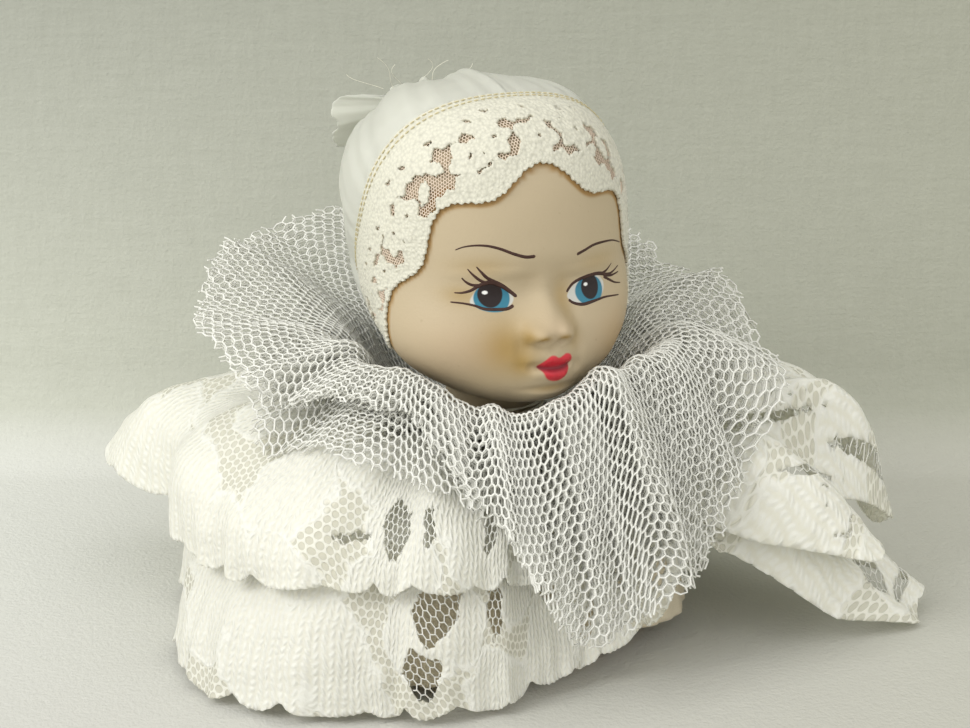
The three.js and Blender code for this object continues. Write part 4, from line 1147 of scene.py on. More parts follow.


# Head pieces
# Airbrushed tan tint of the bisque and dark nostril dots; the spots down the side of the nose at positive x, in the
# fold beside the nostril wing at negative x and under the lower lip are painted shade
AIRBRUSH_AND_PAINTED_SHADE = [(-8.2, 65.4, 3.2, 3.6, 0.8), (-5.2, 61.9, 1.4, 1.6, 0.5), (-11.5, 79.6, 3.4, 1.3, 0.35),
            (-14.8, 74.6, 2.0, 1.2, 0.5),
            (3.6, 72.8, 1.3, 2.4, 0.5), (11.6, 78.4, 3.4, 1.3, 0.3), (0.6, 56.9, 2.6, 0.5, 0.5), (-2.7, 67.3, 0.7, 0.4, 0.95),
            (1.3, 67.3, 0.7, 0.4, 0.95), (16.0, 62.0, 3.2, 4.0, 0.4), (4.6, 66.2, 1.2, 1.8, 0.4),
            (-4.9, 67.4, 0.5, 1.3, 0.4)]
BLUSH = [(-15.5, 64.5, 5.0, 4.2, 0.14), (16.0, 64.5, 5.0, 4.2, 0.14), (0.0, 68.5, 2.4, 1.8, 0.1)]
EYE_WHITES = [[(-13.5, 73.3), (-13.0, 74.5), (-12.0, 75.6), (-10.6, 76.3), (-9.0, 76.3), (-7.6, 75.6),
               (-6.4, 74.6), (-5.8, 73.8),
               (-6.1, 73.0), (-7.0, 72.3), (-8.6, 71.9), (-10.4, 72.0), (-12.2, 72.6)],
              [(4.9, 72.6), (5.1, 73.5), (6.1, 74.6), (7.8, 75.5), (10.2, 75.8), (12.2, 75.4), (13.2, 74.2),
               (12.8, 72.7), (11.4, 71.8),
               (9.0, 71.4), (6.4, 71.6)]]
IRISES = [((-9.7, 73.9), 3.2, 2.75), ((9.6, 73.4), 3.1, 2.55)]
PUPILS = [((-10.0, 74.6), 2.2, 2.25), ((9.8, 74.0), 1.95, 2.2)]
GLINTS = [((-10.9, 75.0), 0.5, 0.34), ((8.9, 74.5), 0.45, 0.32)]
# Brush lines of the face: points seen from in front, and the width at the start, middle and end
BRUSH_LINES = [
    ([(-15.5, 82.6), (-14.2, 83.2), (-12.4, 83.5), (-10.4, 83.4), (-8.3, 82.8), (-6.2, 81.9), (-4.0, 81.2), (-2.2, 81.2)],
     (0.15, 0.42, 0.55)),
    ([(6.4, 80.5), (8.2, 81.0), (10.6, 81.6), (13.4, 81.6), (16.2, 81.2), (19.2, 80.0)], (0.5, 0.42, 0.15)),
    ([(-16.6, 73.4), (-14.6, 73.2), (-12.8, 72.8), (-11.2, 72.2), (-9.0, 72.0), (-7.2, 72.0), (-6.0, 72.5)], (0.22, 0.45, 0.5)),
    ([(-13.5, 75.2), (-12.4, 75.9), (-11.0, 76.6), (-9.6, 76.8), (-8.0, 76.1), (-6.5, 75.0), (-5.2, 73.9)], (0.3, 0.85, 0.5)),
    ([(-15.8, 75.0), (-14.6, 75.0), (-13.2, 75.4), (-12.2, 76.0)], (0.15, 0.4, 0.5)),
    ([(-14.6, 77.7), (-14.0, 77.0), (-13.0, 76.4), (-11.6, 76.3)], (0.15, 0.4, 0.5)),
    ([(-13.7, 79.3), (-13.0, 78.4), (-11.8, 77.3), (-10.6, 76.7)], (0.15, 0.4, 0.5)),
    ([(-12.3, 79.7), (-11.6, 78.8), (-10.6, 77.7), (-9.2, 76.9)], (0.15, 0.45, 0.55)),
    ([(4.8, 73.6), (6.1, 75.0), (8.0, 75.7), (10.6, 76.0), (12.2, 75.9), (13.8, 75.5)], (0.35, 0.6, 0.6)),
    ([(12.8, 75.7), (14.3, 76.1), (15.7, 77.1)], (0.5, 0.38, 0.15)),
    ([(13.2, 75.6), (15.4, 75.3), (18.0, 76.1)], (0.5, 0.38, 0.15)),
    ([(13.4, 75.4), (15.4, 74.9), (17.9, 75.0)], (0.45, 0.38, 0.15)),
    ([(13.4, 75.1), (15.0, 74.2), (16.3, 73.5), (18.1, 73.0)], (0.45, 0.36, 0.15)),
    ([(5.0, 72.3), (6.0, 71.6), (7.8, 71.2), (10.2, 71.4), (13.2, 71.6), (17.0, 71.2)], (0.4, 0.5, 0.18)),
]


class DOLL_OT_head(bpy.types.Operator):
    """The hollow bisque head with its painted face"""
    bl_idname = "doll.head"
    bl_label = "Bisque head"

    def execute(self, context):
        columns, fine, coarse = 260, 190, 26
        even = 2 * np.pi * np.arange(columns) / columns
        turns = even - 0.6 * np.sin(even)
        face_top, face_bottom = math.radians(52), math.radians(152)
        angles = np.concatenate([
            np.linspace(math.radians(1), face_top, coarse, endpoint=False),
            np.linspace(face_top, face_bottom, fine, endpoint=False),
            np.linspace(face_bottom, LAST_RING_ANGLE, 5),
        ])
        outside = face_surface(head_direction(*np.meshgrid(angles, turns, indexing="ij")))
        around = np.stack([np.sin(turns), -np.cos(turns)], -1)
        neck = [np.column_stack([around * radius, np.full(columns, height)]) for radius, height in NECK_PROFILE]
        inner_angles = LAST_RING_ANGLE * np.arange(12, 0, -1) / 12
        inner = head_direction(*np.meshgrid(inner_angles, turns, indexing="ij"))
        inside = inner * (head_radius(inner) - HEAD_WALL)[..., None] + HEAD_CENTRE
        rings = np.concatenate([outside, np.array(neck), inside])
        top = HEAD_CENTRE + np.array([0, 0, CROWN_HALF_HEIGHT])
        points, triangles = ring_body(rings, top, top - np.array([0, 0, HEAD_WALL]))
        piece = new_mesh_object("head_bisque", points, triangles)
        self.paint(piece, points)
        finish_piece(piece, "head", bisque_finish(settings()), "head_shell")
        self.brush_lines()
        return {"FINISHED"}

    def paint(self, piece, points):
        flat = points[:, [0, 2]]
        front = points[:, 1] < -9

        def on_face(values, away):
            return np.where(front, values, away)

        def spots(table):
            total = np.zeros(len(flat))
            for x, z, width, tallness, strength in table:
                total += strength * np.exp(-(((flat[:, 0] - x) / width) ** 2 + ((flat[:, 1] - z) / tallness) ** 2) / 2)
            return on_face(np.clip(total, 0, 1), 0)

        def ovals(table):
            return on_face(np.maximum.reduce([oval_distance(flat[:, 0], flat[:, 1], *oval) for oval in table]), -9)

        whites = np.full(len(flat), -9.0)
        face = front & (np.abs(flat[:, 0]) < 20) & (flat[:, 1] > 54) & (flat[:, 1] < 86)
        lips, parting = whites.copy(), np.zeros(len(flat))
        lips[face] = outline_distance(flat[face], LIPS)
        parting[face] = np.exp(-(line_distance(flat[face], PARTING) / 0.6) ** 2)
        for outline in EYE_WHITES:
            whites[face] = np.maximum(whites[face], outline_distance(flat[face], smooth_line(outline, 48, True)))
        store_values(piece, "lips", lips)
        store_values(piece, "parting", parting)
        store_values(piece, "eye_white", whites)
        store_values(piece, "iris", np.minimum(ovals(IRISES), whites + 0.35))
        # Darker iris toward its top: a painted shadow of the upper lid
        store_values(piece, "iris_tint_and_lid_shadow", on_face(np.clip(0.2 + 0.5 * fade(flat[:, 1], 73.5, 76.5), 0, 1), 0))
        store_values(piece, "pupil", np.minimum(ovals(PUPILS), whites + 0.3))
        store_values(piece, "glint", ovals(GLINTS))
        # Airbrushed tint and painted shade of the face
        store_values(piece, "airbrush_and_painted_shade", spots(AIRBRUSH_AND_PAINTED_SHADE))
        store_values(piece, "blush", spots(BLUSH))
        store_values(piece, "band_shadow", self.band_shadow(points))

    def band_shadow(self, points):
        """A brown line on the skin just past the bonnet's front edge."""
        away = unit(points - HEAD_CENTRE)
        from_axis = np.degrees(np.arccos(np.clip(away @ BONNET_AXIS, -1, 1)))
        round_axis = np.degrees(np.arctan2(away @ ACROSS, away @ BONNET_UP))
        past = (from_axis - band_front_angle(round_axis)) * BAND_RADIUS * math.pi / 180
        return np.where(np.abs(round_axis) < BAND_END_ANGLE,
                        0.9 * np.exp(-(np.maximum(np.maximum(past - 0.4, -past - 3), 0) / 0.35) ** 2), 0)

    def brush_lines(self):
        """Thin raised strokes of paint for the brows, lids and lashes."""
        points, triangles, start = [], [], 0
        for outline, (first, middle, last) in BRUSH_LINES:
            line = smooth_line(outline, 12 * len(outline))
            share = np.linspace(0, 1, len(line))
            width = np.interp(share, [0, 0.5, 1], [first, middle, last]) * 0.57
            width *= np.sqrt(np.clip(np.minimum(share, 1 - share) * 30 + 0.08, 0, 1))
            along = unit(np.gradient(line, axis=0))
            side = np.stack([-along[:, 1], along[:, 0]], -1)
            tracks = []
            for across, lift in ((1, 0.005), (0.5, 0.045), (-0.5, 0.045), (-1, 0.005), (-0.5, -0.06), (0.5, -0.06)):
                spot = line + side * (across * width)[:, None]
                tracks.append(face_point(spot[:, 0], spot[:, 1], lift))
            rings = np.stack(tracks, 1)
            body, faces = ring_body(rings, rings[0].mean(0), rings[-1].mean(0))
            points.append(body)
            triangles.append(faces + start)
            start += len(body)
        piece = new_mesh_object("face_brush_lines", np.concatenate(points), np.concatenate(triangles))
        finish_piece(piece, "head", brush_finish())


class DOLL_OT_bonnet(bpy.types.Operator):
    """The gathered satin crown with its raw tail and the thread that ties it"""
    bl_idname = "doll.bonnet"
    bl_label = "Satin bonnet"

    def execute(self, context):
        around = np.linspace(0, 360, 361)[:-1]
        from_top = np.minimum(around, 360 - around)
        signed = np.where(around > 180, around - 360, around)
        rim = np.where(from_top > 130, 90.0, band_back_angle(signed) + 1.5)
        rim = rim + (90 - rim) * fade(from_top, 118, 132)
        turn = np.radians(around)
        pleat = np.cos(9 * turn) + 0.25 * np.cos(17 * turn + 1)
        fine = np.cos(41 * turn + 0.7) * 0.3 + np.cos(29 * turn) * 0.35
        rows = []
        slump = 1 - 0.4 * np.maximum(np.cos(turn), 0) + 0.5 * np.maximum(-np.sin(turn + 0.26), 0) ** 2
        for share, puff, fineness in ((1, -0.02, 0.05), (0.97, 0.12, 0.25), (0.86, 0.4, 0.3), (0.68, 0.68, 0.25),
                                    (0.45, 1, 0.3), (0.22, 0.8, 0.45)):
            lift = BONNET_GAP + 0.35 + puff * (CROWN_PUFF * slump + 0.6 * pleat) + fineness * fine
            rows.append(bonnet_point(rim * share, around, np.maximum(lift, 0.25)))
        flat = np.ones_like(around)
        rows.append(axis_point(3.4 + 0.25 * fine, 3.4 * flat, around, 1.0))
        rows.append(axis_point(3.4 + 0.2 * fine, 7.8 * flat, around, 1.0))
        trim = 1 - TAIL_TOP_TRIM * np.maximum(np.cos(turn), 0)
        ragged = 0.012 * np.cos(23 * turn) + 0.01 * np.cos(47 * turn + 1)
        flare = TAIL_FLARE * trim * (1 + 0.07 * np.cos(9 * turn) + 0.05 * np.cos(4 * turn + 0.6) + ragged)
        rows.append(axis_point(flare / 2, (7.8 + TAIL_RISE) / 2 + 0.5 * pleat, around, 0.925))
        rows.append(axis_point(flare, TAIL_RISE + 0.7 * pleat + 0.9 * np.cos(5 * turn + 1), around, 0.85)
                    - BONNET_UP * TAIL_SAG)
        rows = smooth_line(np.array(rows).reshape(len(rows), -1), 110).reshape(110, len(around), 3)
        along = (np.roll(rows, -1, axis=1) - np.roll(rows, 1, axis=1))
        normals = unit(np.cross(along, np.gradient(rows, axis=0)))
        triangles = grid_triangles(len(rows), len(around), True)
        outward = (normals[20] * (rows[20] - HEAD_CENTRE)).sum() > 0
        normals = normals if outward else -normals
        points, faces = thickened(rows.reshape(-1, 3), normals.reshape(-1, 3), triangles, 0.2)
        faces = turned_outward(points, faces)
        piece = new_mesh_object("bonnet_satin_crown", points, faces)
        run = np.cumsum(np.linalg.norm(np.diff(rows, axis=0), axis=-1).mean(1))
        v = np.concatenate([[0], run])
        u = around / 360 * 150
        sheet_places = np.stack(np.broadcast_arrays(u[None, :], v[:, None]), -1).reshape(-1, 2)
        store_flat_places(piece, np.concatenate([sheet_places, sheet_places]))
        finish_piece(piece, "head", satin_finish(settings()), "bonnet_crown")
        self.crown_thread()
        self.loose_threads()
        return {"FINISHED"}

    def crown_thread(self):
        turns = np.linspace(0, 2.5, 241)
        middle = axis_point(np.zeros(1), np.array([5.6]), np.zeros(1), 1.0)[0]
        lines = []
        for ply in (0, math.pi):
            angle = 2 * np.pi * turns
            twist = 2 * np.pi * turns * 17 + ply
            radius = 4.45 + 0.17 * np.cos(twist)
            height = 1.2 * (turns - 1.25) + 0.17 * np.sin(twist)
            lines.append(middle + BONNET_AXIS * height[:, None] + BONNET_UP * (radius * np.cos(angle))[:, None]
                         + ACROSS * (radius * np.sin(angle))[:, None])
        material = thread_finish("tie_thread", plain(234, 230, 210))
        piece = threads_from_lines("crown_thread", lines, 0.19, 6, material)
        finish_piece(piece, "head", replaces="crown_tie")

    def loose_threads(self):
        """Fine threads pulled from the raw edge of the tail."""
        tip = axis_point(np.array([9.0]), np.array([12.0]), np.array([-20.0]), 0.85)[0] - BONNET_UP * TAIL_SAG
        lines = []
        for reach, rise, side, curl in ((5, 9, -6, 2.0), (8, 6, 5, -3.0), (4, 8, 1, 3.5),
                                         (9, 3, -9, -2.0), (6, 5, 8, 2.5), (3, 7, -3, -2.5)):
            t = np.linspace(0, 1, 18)[:, None]
            start = tip + ACROSS * side * 0.7 - BONNET_UP * 1.0
            bend = ACROSS * side + BONNET_UP * rise + BONNET_AXIS * reach * 0.3
            lines.append(start + bend * t * 0.8 + ACROSS * curl * np.sin(3 * t) * t)
        piece = threads_from_lines("bonnet_loose_threads", lines, 0.05, 4, thread_finish("loose_thread", plain(240, 238, 222)))
        finish_piece(piece, "head")


class DOLL_OT_bonnet_lace(bpy.types.Operator):
    """The floral lace band round the face, with its net, stitches and scalloped edge"""
    bl_idname = "doll.bonnet_lace"
    bl_label = "Bonnet lace band"

    PER_DEGREE = BAND_RADIUS * math.pi / 180

    def lay(self, flat, lift):
        """Where flat places of the band lie: along from the top, and up from its back edge."""
        round_axis = flat[:, 0] / self.PER_DEGREE
        from_axis = band_back_angle(round_axis) + flat[:, 1] / self.PER_DEGREE
        return bonnet_point(from_axis, round_axis, lift)

    def front(self, s):
        round_axis = s / self.PER_DEGREE
        return (band_front_angle(round_axis) - band_back_angle(round_axis)) * self.PER_DEGREE

    def distance(self, s, t):
        return band_distance(s, t, self.front(s))

    def execute(self, context):
        sizes = settings()
        reach = BAND_END_ANGLE * self.PER_DEGREE
        s, t = np.arange(-reach, reach + 0.1, 0.28), np.arange(-0.28, 24.5, 0.28)
        grid_s, grid_t = np.meshgrid(s, t, indexing="ij")
        inside = np.minimum(self.distance(grid_s, grid_t), reach - np.abs(grid_s))
        flat, values, triangles = cut_pattern(s, t, inside)
        cord = np.exp(-((values - 0.35) / 0.3) ** 2)
        chance = np.random.default_rng(11)
        knots = chance.normal(0, 0.04, len(flat))
        edge = fade(self.front(flat[:, 0]) - flat[:, 1], 0, 5)
        lift = BONNET_GAP + 0.12 + 0.33 * edge + 0.05 * np.sin(flat[:, 0] * 6.3) * np.sin(flat[:, 1] * 6.9) + knots
        points = self.lay(flat, lift)
        step = 0.2
        along = self.lay(flat + np.array([step, 0]), lift) - points
        down = self.lay(flat + np.array([0, step]), lift) - points
        normals = unit(np.cross(along, down))
        if ((points - HEAD_CENTRE) * normals).sum() < 0:
            normals = -normals
        both, faces = thickened(points, normals, triangles, 0.42 + 0.3 * cord)
        piece = new_mesh_object("bonnet_lace_work", both, turned_outward(both, faces))
        store_flat_places(piece, np.concatenate([flat, flat]))
        lace = bonnet_lace_finish(tuple(sizes.band_colour))
        finish_piece(piece, "head", lace, "bonnet_lace_band")

        def in_window(places):
            value = self.distance(places[:, 0] - reach, places[:, 1])
            inner = (self.front(places[:, 0] - reach) - places[:, 1] > 1.0) & (places[:, 1] > 1.0)
            return (value < 0.25) & inner & (places[:, 0] < 2 * reach) & (places[:, 0] > 0)

        corners, threads = honeycomb(2 * reach, 24, 0.52, in_window, 0.05, 5)
        corners = corners - np.array([reach, 0])
        net = new_mesh_object("bonnet_lace_net", self.lay(corners, BONNET_GAP + 0.2), None, threads)
        net_material = thread_finish("bonnet_net_thread", plain(236, 219, 200))
        made_by(thread_tree("bonnet_net"), net, radius=0.11 * MM, sides=3, material=net_material)
        finish_piece(net, "head")
        stitches = self.stitches(reach)
        work_area(flat, triangles)
        return {"FINISHED"}

    def stitches(self, reach):
        points, edges, start = [], [], 0
        s = np.arange(-reach + 1, reach - 0.9, 0.5)
        for t, lift in ((0.9, 1.15), (2.1, 1.15)):
            points.append(self.lay(np.stack([s, np.full_like(s, t)], -1), BONNET_GAP + lift - 0.3))
            number = np.arange(len(s) - 1) + start
            edges.append(np.stack([number, number + 1], -1))
            start += len(s)
        piece = new_mesh_object("bonnet_stitches", np.concatenate(points), None, np.concatenate(edges))
        material = thread_finish("stitch_thread", plain(206, 196, 158))
        made_by(stitch_tree("bonnet_stitches"), piece, spacing=1.25 * MM, length=0.5 * MM,
                radius=0.13 * MM, material=material)
        return finish_piece(piece, "head")


def work_area(flat, triangles):
    """Area of the close work of a flat pattern, in square metres."""
    a, b, c = (flat[triangles[:, k]] for k in range(3))
    return float(np.abs(np.cross(b - a, c - a)).sum() / 2 * MM * MM)


def net_piece(name, ring, cell, thread, keep, lift, seed, material, body="torso", replaces=None):
    corners, threads = honeycomb(ring.length, ring.width, cell, keep, 0.035, seed)
    wave = np.stack([0.5 * np.sin(corners[:, 1] / 5 + corners[:, 0] / 17), 0.5 * np.sin(corners[:, 0] / 7)], -1)
    corners = corners + wave * 0.6
    places, _ = ring.lay(corners, lift)
    piece = new_mesh_object(name, places, None, threads)
    made_by(thread_tree(name + "_tree"), piece, radius=thread, sides=3, material=material)
    return finish_piece(piece, body, replaces=replaces)


# The ruffs are cut shorter in front: degrees from the front, and millimetres cut off the strip
RUFF_CUT = [(-180, 0), (-64, 0), (-48, 8), (-32, 12), (-12, 14), (2, 10), (12, 3), (22, 0), (180, 0)]


def raw_edge(ring, seed, depth):
    """How far a raw cut edge eats into the strip, from place to place."""
    chance = np.random.default_rng(seed)
    steps = int(ring.length / 1.6)
    ragged = depth * (chance.random(steps + 1) ** 2)
    ragged[-1] = ragged[0]
    places = np.linspace(0, ring.length, steps + 1)
    ragged = ragged + np.interp(360 * places / ring.length - 180, *np.transpose(RUFF_CUT))
    return lambda u: np.interp(np.mod(u, ring.length), places, ragged)


class DOLL_OT_ruffs(bpy.types.Operator):
    """The two gathered net ruffs, each in layers of net"""
    bl_idname = "doll.ruffs"
    bl_label = "Net ruffs"

    def execute(self, context):
        sizes = settings()
        material = thread_finish("ruff_net_thread", (*sizes.net_colour, 1), 0.2)
        for name, layer, yoke, stations, copies, node in (
            ("ruff_lower_net", 3, LOWER_RUFF_YOKE, LOWER_RUFF, (0.0, -0.9), "ruff_lower"),
            ("ruff_upper_net", 4, UPPER_RUFF_YOKE, UPPER_RUFF, (0.0, -0.9, -1.8), "ruff_upper"),
        ):
            ring = ClothRing(layer, yoke, RUFF_SIZE, stations, RUFF_FOLDS, 0.5)
            for k, lift in enumerate(copies):
                ragged = raw_edge(ring, 20 + layer * 3 + k, 2.4)

                def keep(places, ragged=ragged):
                    u, v = places[:, 0], places[:, 1]
                    return (v > 0.3) & (v < ring.width_at(u) - 0.3 - ragged(u)) & (u > 0.2) & (u < ring.length - 0.2)

                label = name + ("", "_second", "_third")[k]
                net_piece(label, ring, sizes.net_cell / MM, sizes.net_thread, keep, lift, 31 + layer + k, material,
                                        replaces=node if k == 0 else None)
        return {"FINISHED"}


class DOLL_OT_lace_tiers(bpy.types.Operator):
    """The two gathered tiers of floral lace"""
    bl_idname = "doll.lace_tiers"
    bl_label = "Lace tiers"

    def execute(self, context):
        sizes = settings()
        lace = skirt_lace_finish(tuple(sizes.lace_colour))
        net = thread_finish("skirt_net_thread", (*sizes.lace_colour, 1), 0.3)
        for name, layer, stations, shift, placed in (
            ("lace_tier_lower", 1, LOWER_TIER, 6.0, LOWER_OPENINGS),
            ("lace_tier_upper", 2, UPPER_TIER, 29.0, UPPER_OPENINGS),
        ):
            ring = ClothRing(layer, SKIRT_YOKE, SKIRT_SIZE, stations, TIER_FOLDS)

            def work(u, v, ring=ring, shift=shift, placed=placed):
                up = ring.width_at(u) - v - lace_scallop(u)
                return np.minimum(lace_distance(u, up, shift, placed), up)

            u = np.linspace(0, ring.length, int(ring.length / 0.7))
            v = np.linspace(0, ring.width, int(ring.width / 0.7))
            grid_u, grid_v = np.meshgrid(u, v, indexing="ij")
            flat, values, triangles = cut_pattern(u, v, work(grid_u, grid_v))
            points, normals = ring.lay(flat)
            cord = np.exp(-((values - 0.3) / 0.35) ** 2)
            both, faces = thickened(points, normals, triangles, sizes.lace_thickness / MM * (0.8 + 0.9 * cord))
            piece = new_mesh_object(name + "_work", both, turned_outward(both, faces))
            store_flat_places(piece, np.concatenate([flat, flat]))
            finish_piece(piece, "torso", lace, name)

            def keep(places, ring=ring, work=work):
                u, v = places[:, 0], places[:, 1]
                inner = v < ring.width_at(u) - lace_scallop(u) - 1.2
                return (work(u, v) < 0.35) & inner & (v > 0.3) & (u > 0.2) & (u < ring.length - 0.2)

            ground = net_piece(name + "_net", ring, sizes.lace_cell / MM, sizes.lace_thread, keep,
                               0.0, 60 + layer, net)
            work_area(flat, triangles)
        return {"FINISHED"}


class DOLL_OT_underskirt(bpy.types.Operator):
    """The plain gathered underskirt"""
    bl_idname = "doll.underskirt"
    bl_label = "Underskirt"

    def execute(self, context):
        ring = ClothRing(0, SKIRT_YOKE, UNDERSKIRT_SIZE, UNDERSKIRT, gathers=0.6)
        u = np.linspace(0, ring.length, 360)
        v = np.linspace(0, 1, 60)
        grid_u, share = np.meshgrid(u, v, indexing="ij")
        flat = np.stack([grid_u, share * ring.width_at(grid_u)], -1).reshape(-1, 2)
        points, normals = ring.lay(flat)
        triangles = grid_triangles(len(u), len(v), False)
        both, faces = thickened(points, normals, triangles, 0.25)
        piece = new_mesh_object("underskirt_cloth", both, turned_outward(both, faces))
        store_flat_places(piece, np.concatenate([flat, flat]))
        colour = settings().cotton_colour
        material = woven_finish("underskirt_cotton", tuple(c * 0.93 for c in colour) + (1,), (*colour, 1), 0.0005, 0.00006, 0.3)
        finish_piece(piece, "torso", material, "underskirt")
        work_area(flat, triangles)
        return {"FINISHED"}


BAG_SIDE = [(0.86, 0), (0.97, 0.07), (1, 0.25), (0.94, 0.55), (0.79, 0.8), (0.62, 1)]
BAG_RADIUS = 22.0
SHOULDER_HEIGHT = 35.6


def bag_rings(inset, columns, rows, top):
    """Rings of the bag's side, gathered toward the neck and closed flat under it."""
    side = np.array([(r * BAG_RADIUS, z * SHOULDER_HEIGHT) for r, z in BAG_SIDE] + list(top))
    line = smooth_line(side, rows)
    line[:, 1] = np.maximum(line[:, 1], 0)
    turn = 2 * np.pi * np.arange(columns) / columns
    tuck = (0.5 * np.cos(22 * turn) + 0.3 * np.cos(31 * turn + 1)) * 0.5
    rings = []
    for radius, height in line:
        deep = tuck * fade(height, 14, 38) - 0.25 * np.exp(-(np.sin(2 * turn) / 0.03) ** 2) * fade(height, 0, 4)
        spread = radius - inset + deep - 0.5
        rings.append(np.stack([spread * np.sin(turn), -spread * np.cos(turn), np.full(columns, max(height, inset))], -1))
    return np.array(rings)


class DOLL_OT_body(bpy.types.Operator):
    """The stuffed muslin body, its filling and the threads at the neck"""
    bl_idname = "doll.body"
    bl_label = "Cloth body"

    def execute(self, context):
        colour = settings().muslin_colour
        neck = [(12.4, 37.6), (12.4, 40.9), (8.9, 41.5), (8.9, 44.6)]
        outer = bag_rings(0.0, 176, 90, neck)
        inner = bag_rings(0.6, 176, 90, neck)[::-1]
        points, triangles = ring_body(np.concatenate([outer, inner]), (0, 0, 0), (0, 0, 0.6))
        piece = new_mesh_object("muslin_bag", points, triangles)
        dark = tuple(c * 0.8 for c in colour) + (1,)
        material = woven_finish("tan_muslin", dark, (*colour, 1), 0.0007, 0.00012)
        finish_piece(piece, "torso", material, "body_bag")
        chance = np.random.default_rng(7)
        rings = bag_rings(0.9, 96, 40, [])
        lumps = sum(np.sin(rings[..., 0] * a + p) * np.sin(rings[..., 1] * b + q) * np.sin(rings[..., 2] * c + p)
                    for a, b, c, p, q in chance.uniform(0.25, 0.7, (6, 5)))
        rings[..., :2] *= 1 - 0.012 * (1 + lumps[..., None])
        body, faces = ring_body(rings, (0, 0, 0.9), (0, 0, 35.4))
        filling = new_mesh_object("fibre_filling", body, faces)
        material = woven_finish("loose_fibre", plain(214, 208, 190), plain(240, 236, 222), 0.0016, 0.0003)
        finish_piece(filling, "torso", material, "stuffing")
        self.wound_thread("neck_tie_cord", "neck_cord", 9.6, 2, 1.25, 43.35, 0.22, 0.19)
        self.wound_thread("ruff_gather_thread", "ruff_thread", 9.6, 2, 1.05, 48.0, 0.17, 0.14)
        return {"FINISHED"}

    def wound_thread(self, name, node, radius, turns, pitch, middle, ply_radius, offset):
        """A two-ply thread wound round the neck."""
        t = np.linspace(0, 1, 360 * turns // 2)
        lines = []
        for ply in (0, math.pi):
            angle = 2 * np.pi * turns * t
            twist = angle * radius / 0.9 / math.pi + ply
            spread = radius + offset * np.cos(twist)
            height = middle + pitch * turns * (t - 0.5) + offset * np.sin(twist)
            lines.append(np.stack([spread * np.cos(angle), spread * np.sin(angle), height], -1))
        piece = threads_from_lines(name, lines, ply_radius, 6, thread_finish(name + "_cotton", plain(236, 232, 214)))
        finish_piece(piece, "torso", replaces=node)


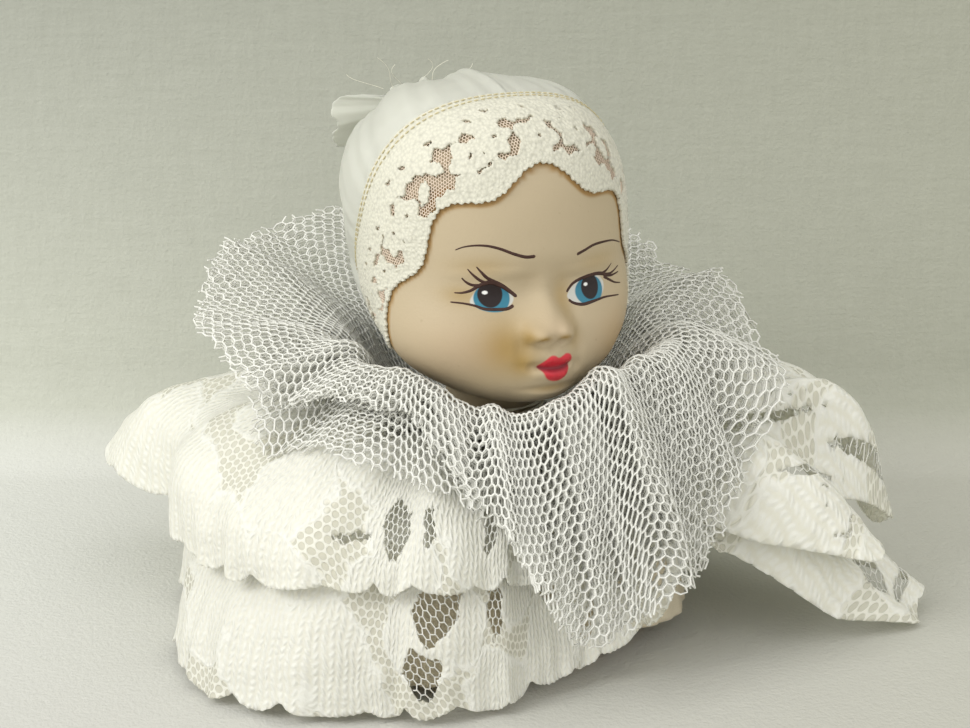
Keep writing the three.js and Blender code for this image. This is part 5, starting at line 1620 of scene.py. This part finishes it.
class DOLL_OT_stage(bpy.types.Operator):
    """Floor, backdrop, lamps and the camera"""
    bl_idname = "doll.stage"
    bl_label = "Stage"

    def execute(self, context):
        self.backdrop()
        self.lamp("key_light", (-440, -330, 420), 300, 2.0, (1.0, 1.0, 0.98))
        self.lamp("fill_light", (380, -420, 240), 380, 0.08, (1.0, 1.0, 1.0))
        world = bpy.data.worlds.new("studio")
        world.use_nodes = True
        world.node_tree.nodes["Background"].inputs[0].default_value = (1.0, 0.99, 0.955, 1)
        world.node_tree.nodes["Background"].inputs[1].default_value = 1.1
        context.scene.world = world
        context.scene.view_settings.view_transform = "Standard"
        data = bpy.data.cameras.new("camera")
        data.sensor_width = 36
        data.lens = CAMERA_LENS
        data.clip_start = 0.01
        camera = bpy.data.objects.new("camera", data)
        a, e = CAMERA_AZIMUTH, CAMERA_ELEVATION
        back = Vector((math.sin(a) * math.cos(e), -math.cos(a) * math.cos(e), math.sin(e)))
        camera.location = Vector(CAMERA_TARGET * MM) + back * CAMERA_DISTANCE * MM
        camera.rotation_euler = back.to_track_quat("Z", "Y").to_euler()
        context.scene.collection.objects.link(camera)
        context.scene.camera = camera
        return {"FINISHED"}

    def lamp(self, name, place, size, power, colour):
        data = bpy.data.lights.new(name, "AREA")
        data.shape = "SQUARE"
        data.size = size * MM
        data.energy = power
        data.color = colour
        lamp = bpy.data.objects.new(name, data)
        turn = CAMERA_AZIMUTH
        x, y, z = place
        lamp.location = Vector((x * math.cos(turn) - y * math.sin(turn), x * math.sin(turn) + y * math.cos(turn), z)) * MM
        aim = Vector((0, 0, 0.05)) - lamp.location
        lamp.rotation_euler = aim.to_track_quat("-Z", "Y").to_euler()
        bpy.context.scene.collection.objects.link(lamp)

    def backdrop(self):
        """One pale cloth: a floor that curves up into a wall. Painted shade darkens the wall, more so higher up, the
        floor toward the camera, and everything toward the camera's right.
        """
        bend = np.radians(np.linspace(0, 82, 24))
        floor_depth, curve, wall = 82.0, 26.0, 700.0
        line = [(-900.0, 0.0), (floor_depth, 0.0)]
        line += [(floor_depth + curve * math.sin(b), curve * (1 - math.cos(b))) for b in bend[1:]]
        y, z = line[-1]
        line.append((y + wall * math.cos(bend[-1]), z + wall * math.sin(bend[-1])))
        line = np.array(line)
        x = np.linspace(-1100, 1100, 3)
        turn = CAMERA_AZIMUTH
        points = np.array([(a * math.cos(turn) - d * math.sin(turn), a * math.sin(turn) + d * math.cos(turn), h - 0.02)
                           for a in x for d, h in line])
        piece = new_mesh_object("backdrop_cloth", points, grid_triangles(len(x), len(line), False))
        f = Finish("backdrop_linen", sheer=True, Specular_IOR_Level=0.1)
        # Seen from behind it vanishes, so that the sides and the back can be viewed
        f.cover(1 - f.node("ShaderNodeNewGeometry", {}, {}, "Backfacing"))
        place = f.place()
        px, py, pz = f.parts(place)
        # Painted shade: the wall darker than the floor and darker higher up, and all of it darker toward the camera's
        # right, into the dim colours
        rise = (pz / 0.012).clamped()
        high = ((pz - 0.03) / 0.09).clamped()
        across = px * math.cos(turn) + py * math.sin(turn)
        shade = (across / 0.26 + 0.45).clamped() * 0.7
        level = f.noise(f.node("ShaderNodeMapping", {}, {"Vector": place, "Scale": (1.0, 1.0, 7.0)}), 0.012, 4, 0.65)
        upright = f.noise(f.node("ShaderNodeMapping", {}, {"Vector": place, "Scale": (7.0, 7.0, 1.0)}), 0.012, 4, 0.65)
        weave = level * 0.5 + upright * 0.5
        low_wall = f.blend(weave, plain(182, 184, 172), plain(200, 202, 191))
        high_wall = f.blend(weave, plain(146, 148, 138), plain(168, 170, 160))
        far_floor = f.blend(f.noise(place, 0.05, 3), plain(209, 210, 205), plain(217, 218, 213))
        # Painted shade: the floor darker toward the camera
        near = ((px * math.sin(turn) - py * math.cos(turn)) / 0.12 + 0.2).clamped()
        floor_colour = f.blend(near, far_floor, plain(190, 189, 185))
        lit = f.blend(rise, floor_colour, f.blend(high, low_wall, high_wall))
        dim = f.blend(rise, plain(186, 185, 172), f.blend(weave, plain(158, 159, 144), plain(174, 175, 160)))
        f.colour(f.blend(shade, lit, dim))
        f.rough(0.95)
        f.bump(f.noise(place, 0.0009, 2) * 0.6 + weave, 0.0003)
        piece.data.materials.append(f.material)


class DOLL_PT_panel(bpy.types.Panel):
    """Lists the doll's pieces"""
    bl_idname = "DOLL_PT_panel"
    bl_label = "Ceramic doll"
    bl_space_type = "VIEW_3D"
    bl_region_type = "UI"
    bl_category = "Doll"

    def draw(self, context):
        for operator in OPERATORS:
            self.layout.operator(operator.bl_idname)
        for name in DollSettings.__annotations__:
            self.layout.prop(context.scene.doll_settings, name)


OPERATORS = (DOLL_OT_stage, DOLL_OT_head, DOLL_OT_bonnet, DOLL_OT_bonnet_lace, DOLL_OT_body,
             DOLL_OT_underskirt, DOLL_OT_lace_tiers, DOLL_OT_ruffs)


def register():
    for part in (DollSettings, *OPERATORS, DOLL_PT_panel):
        bpy.utils.register_class(part)
    bpy.types.Scene.doll_settings = bpy.props.PointerProperty(type=DollSettings)


def unregister():
    del bpy.types.Scene.doll_settings
    for part in reversed((DollSettings, *OPERATORS, DOLL_PT_panel)):
        bpy.utils.unregister_class(part)


def main():
    register()
    bpy.ops.doll.stage()
    bpy.ops.doll.head()
    bpy.ops.doll.bonnet()
    bpy.ops.doll.bonnet_lace()
    bpy.ops.doll.body()
    bpy.ops.doll.underskirt()
    bpy.ops.doll.lace_tiers()
    bpy.ops.doll.ruffs()


if __name__ == "__main__":
    main()
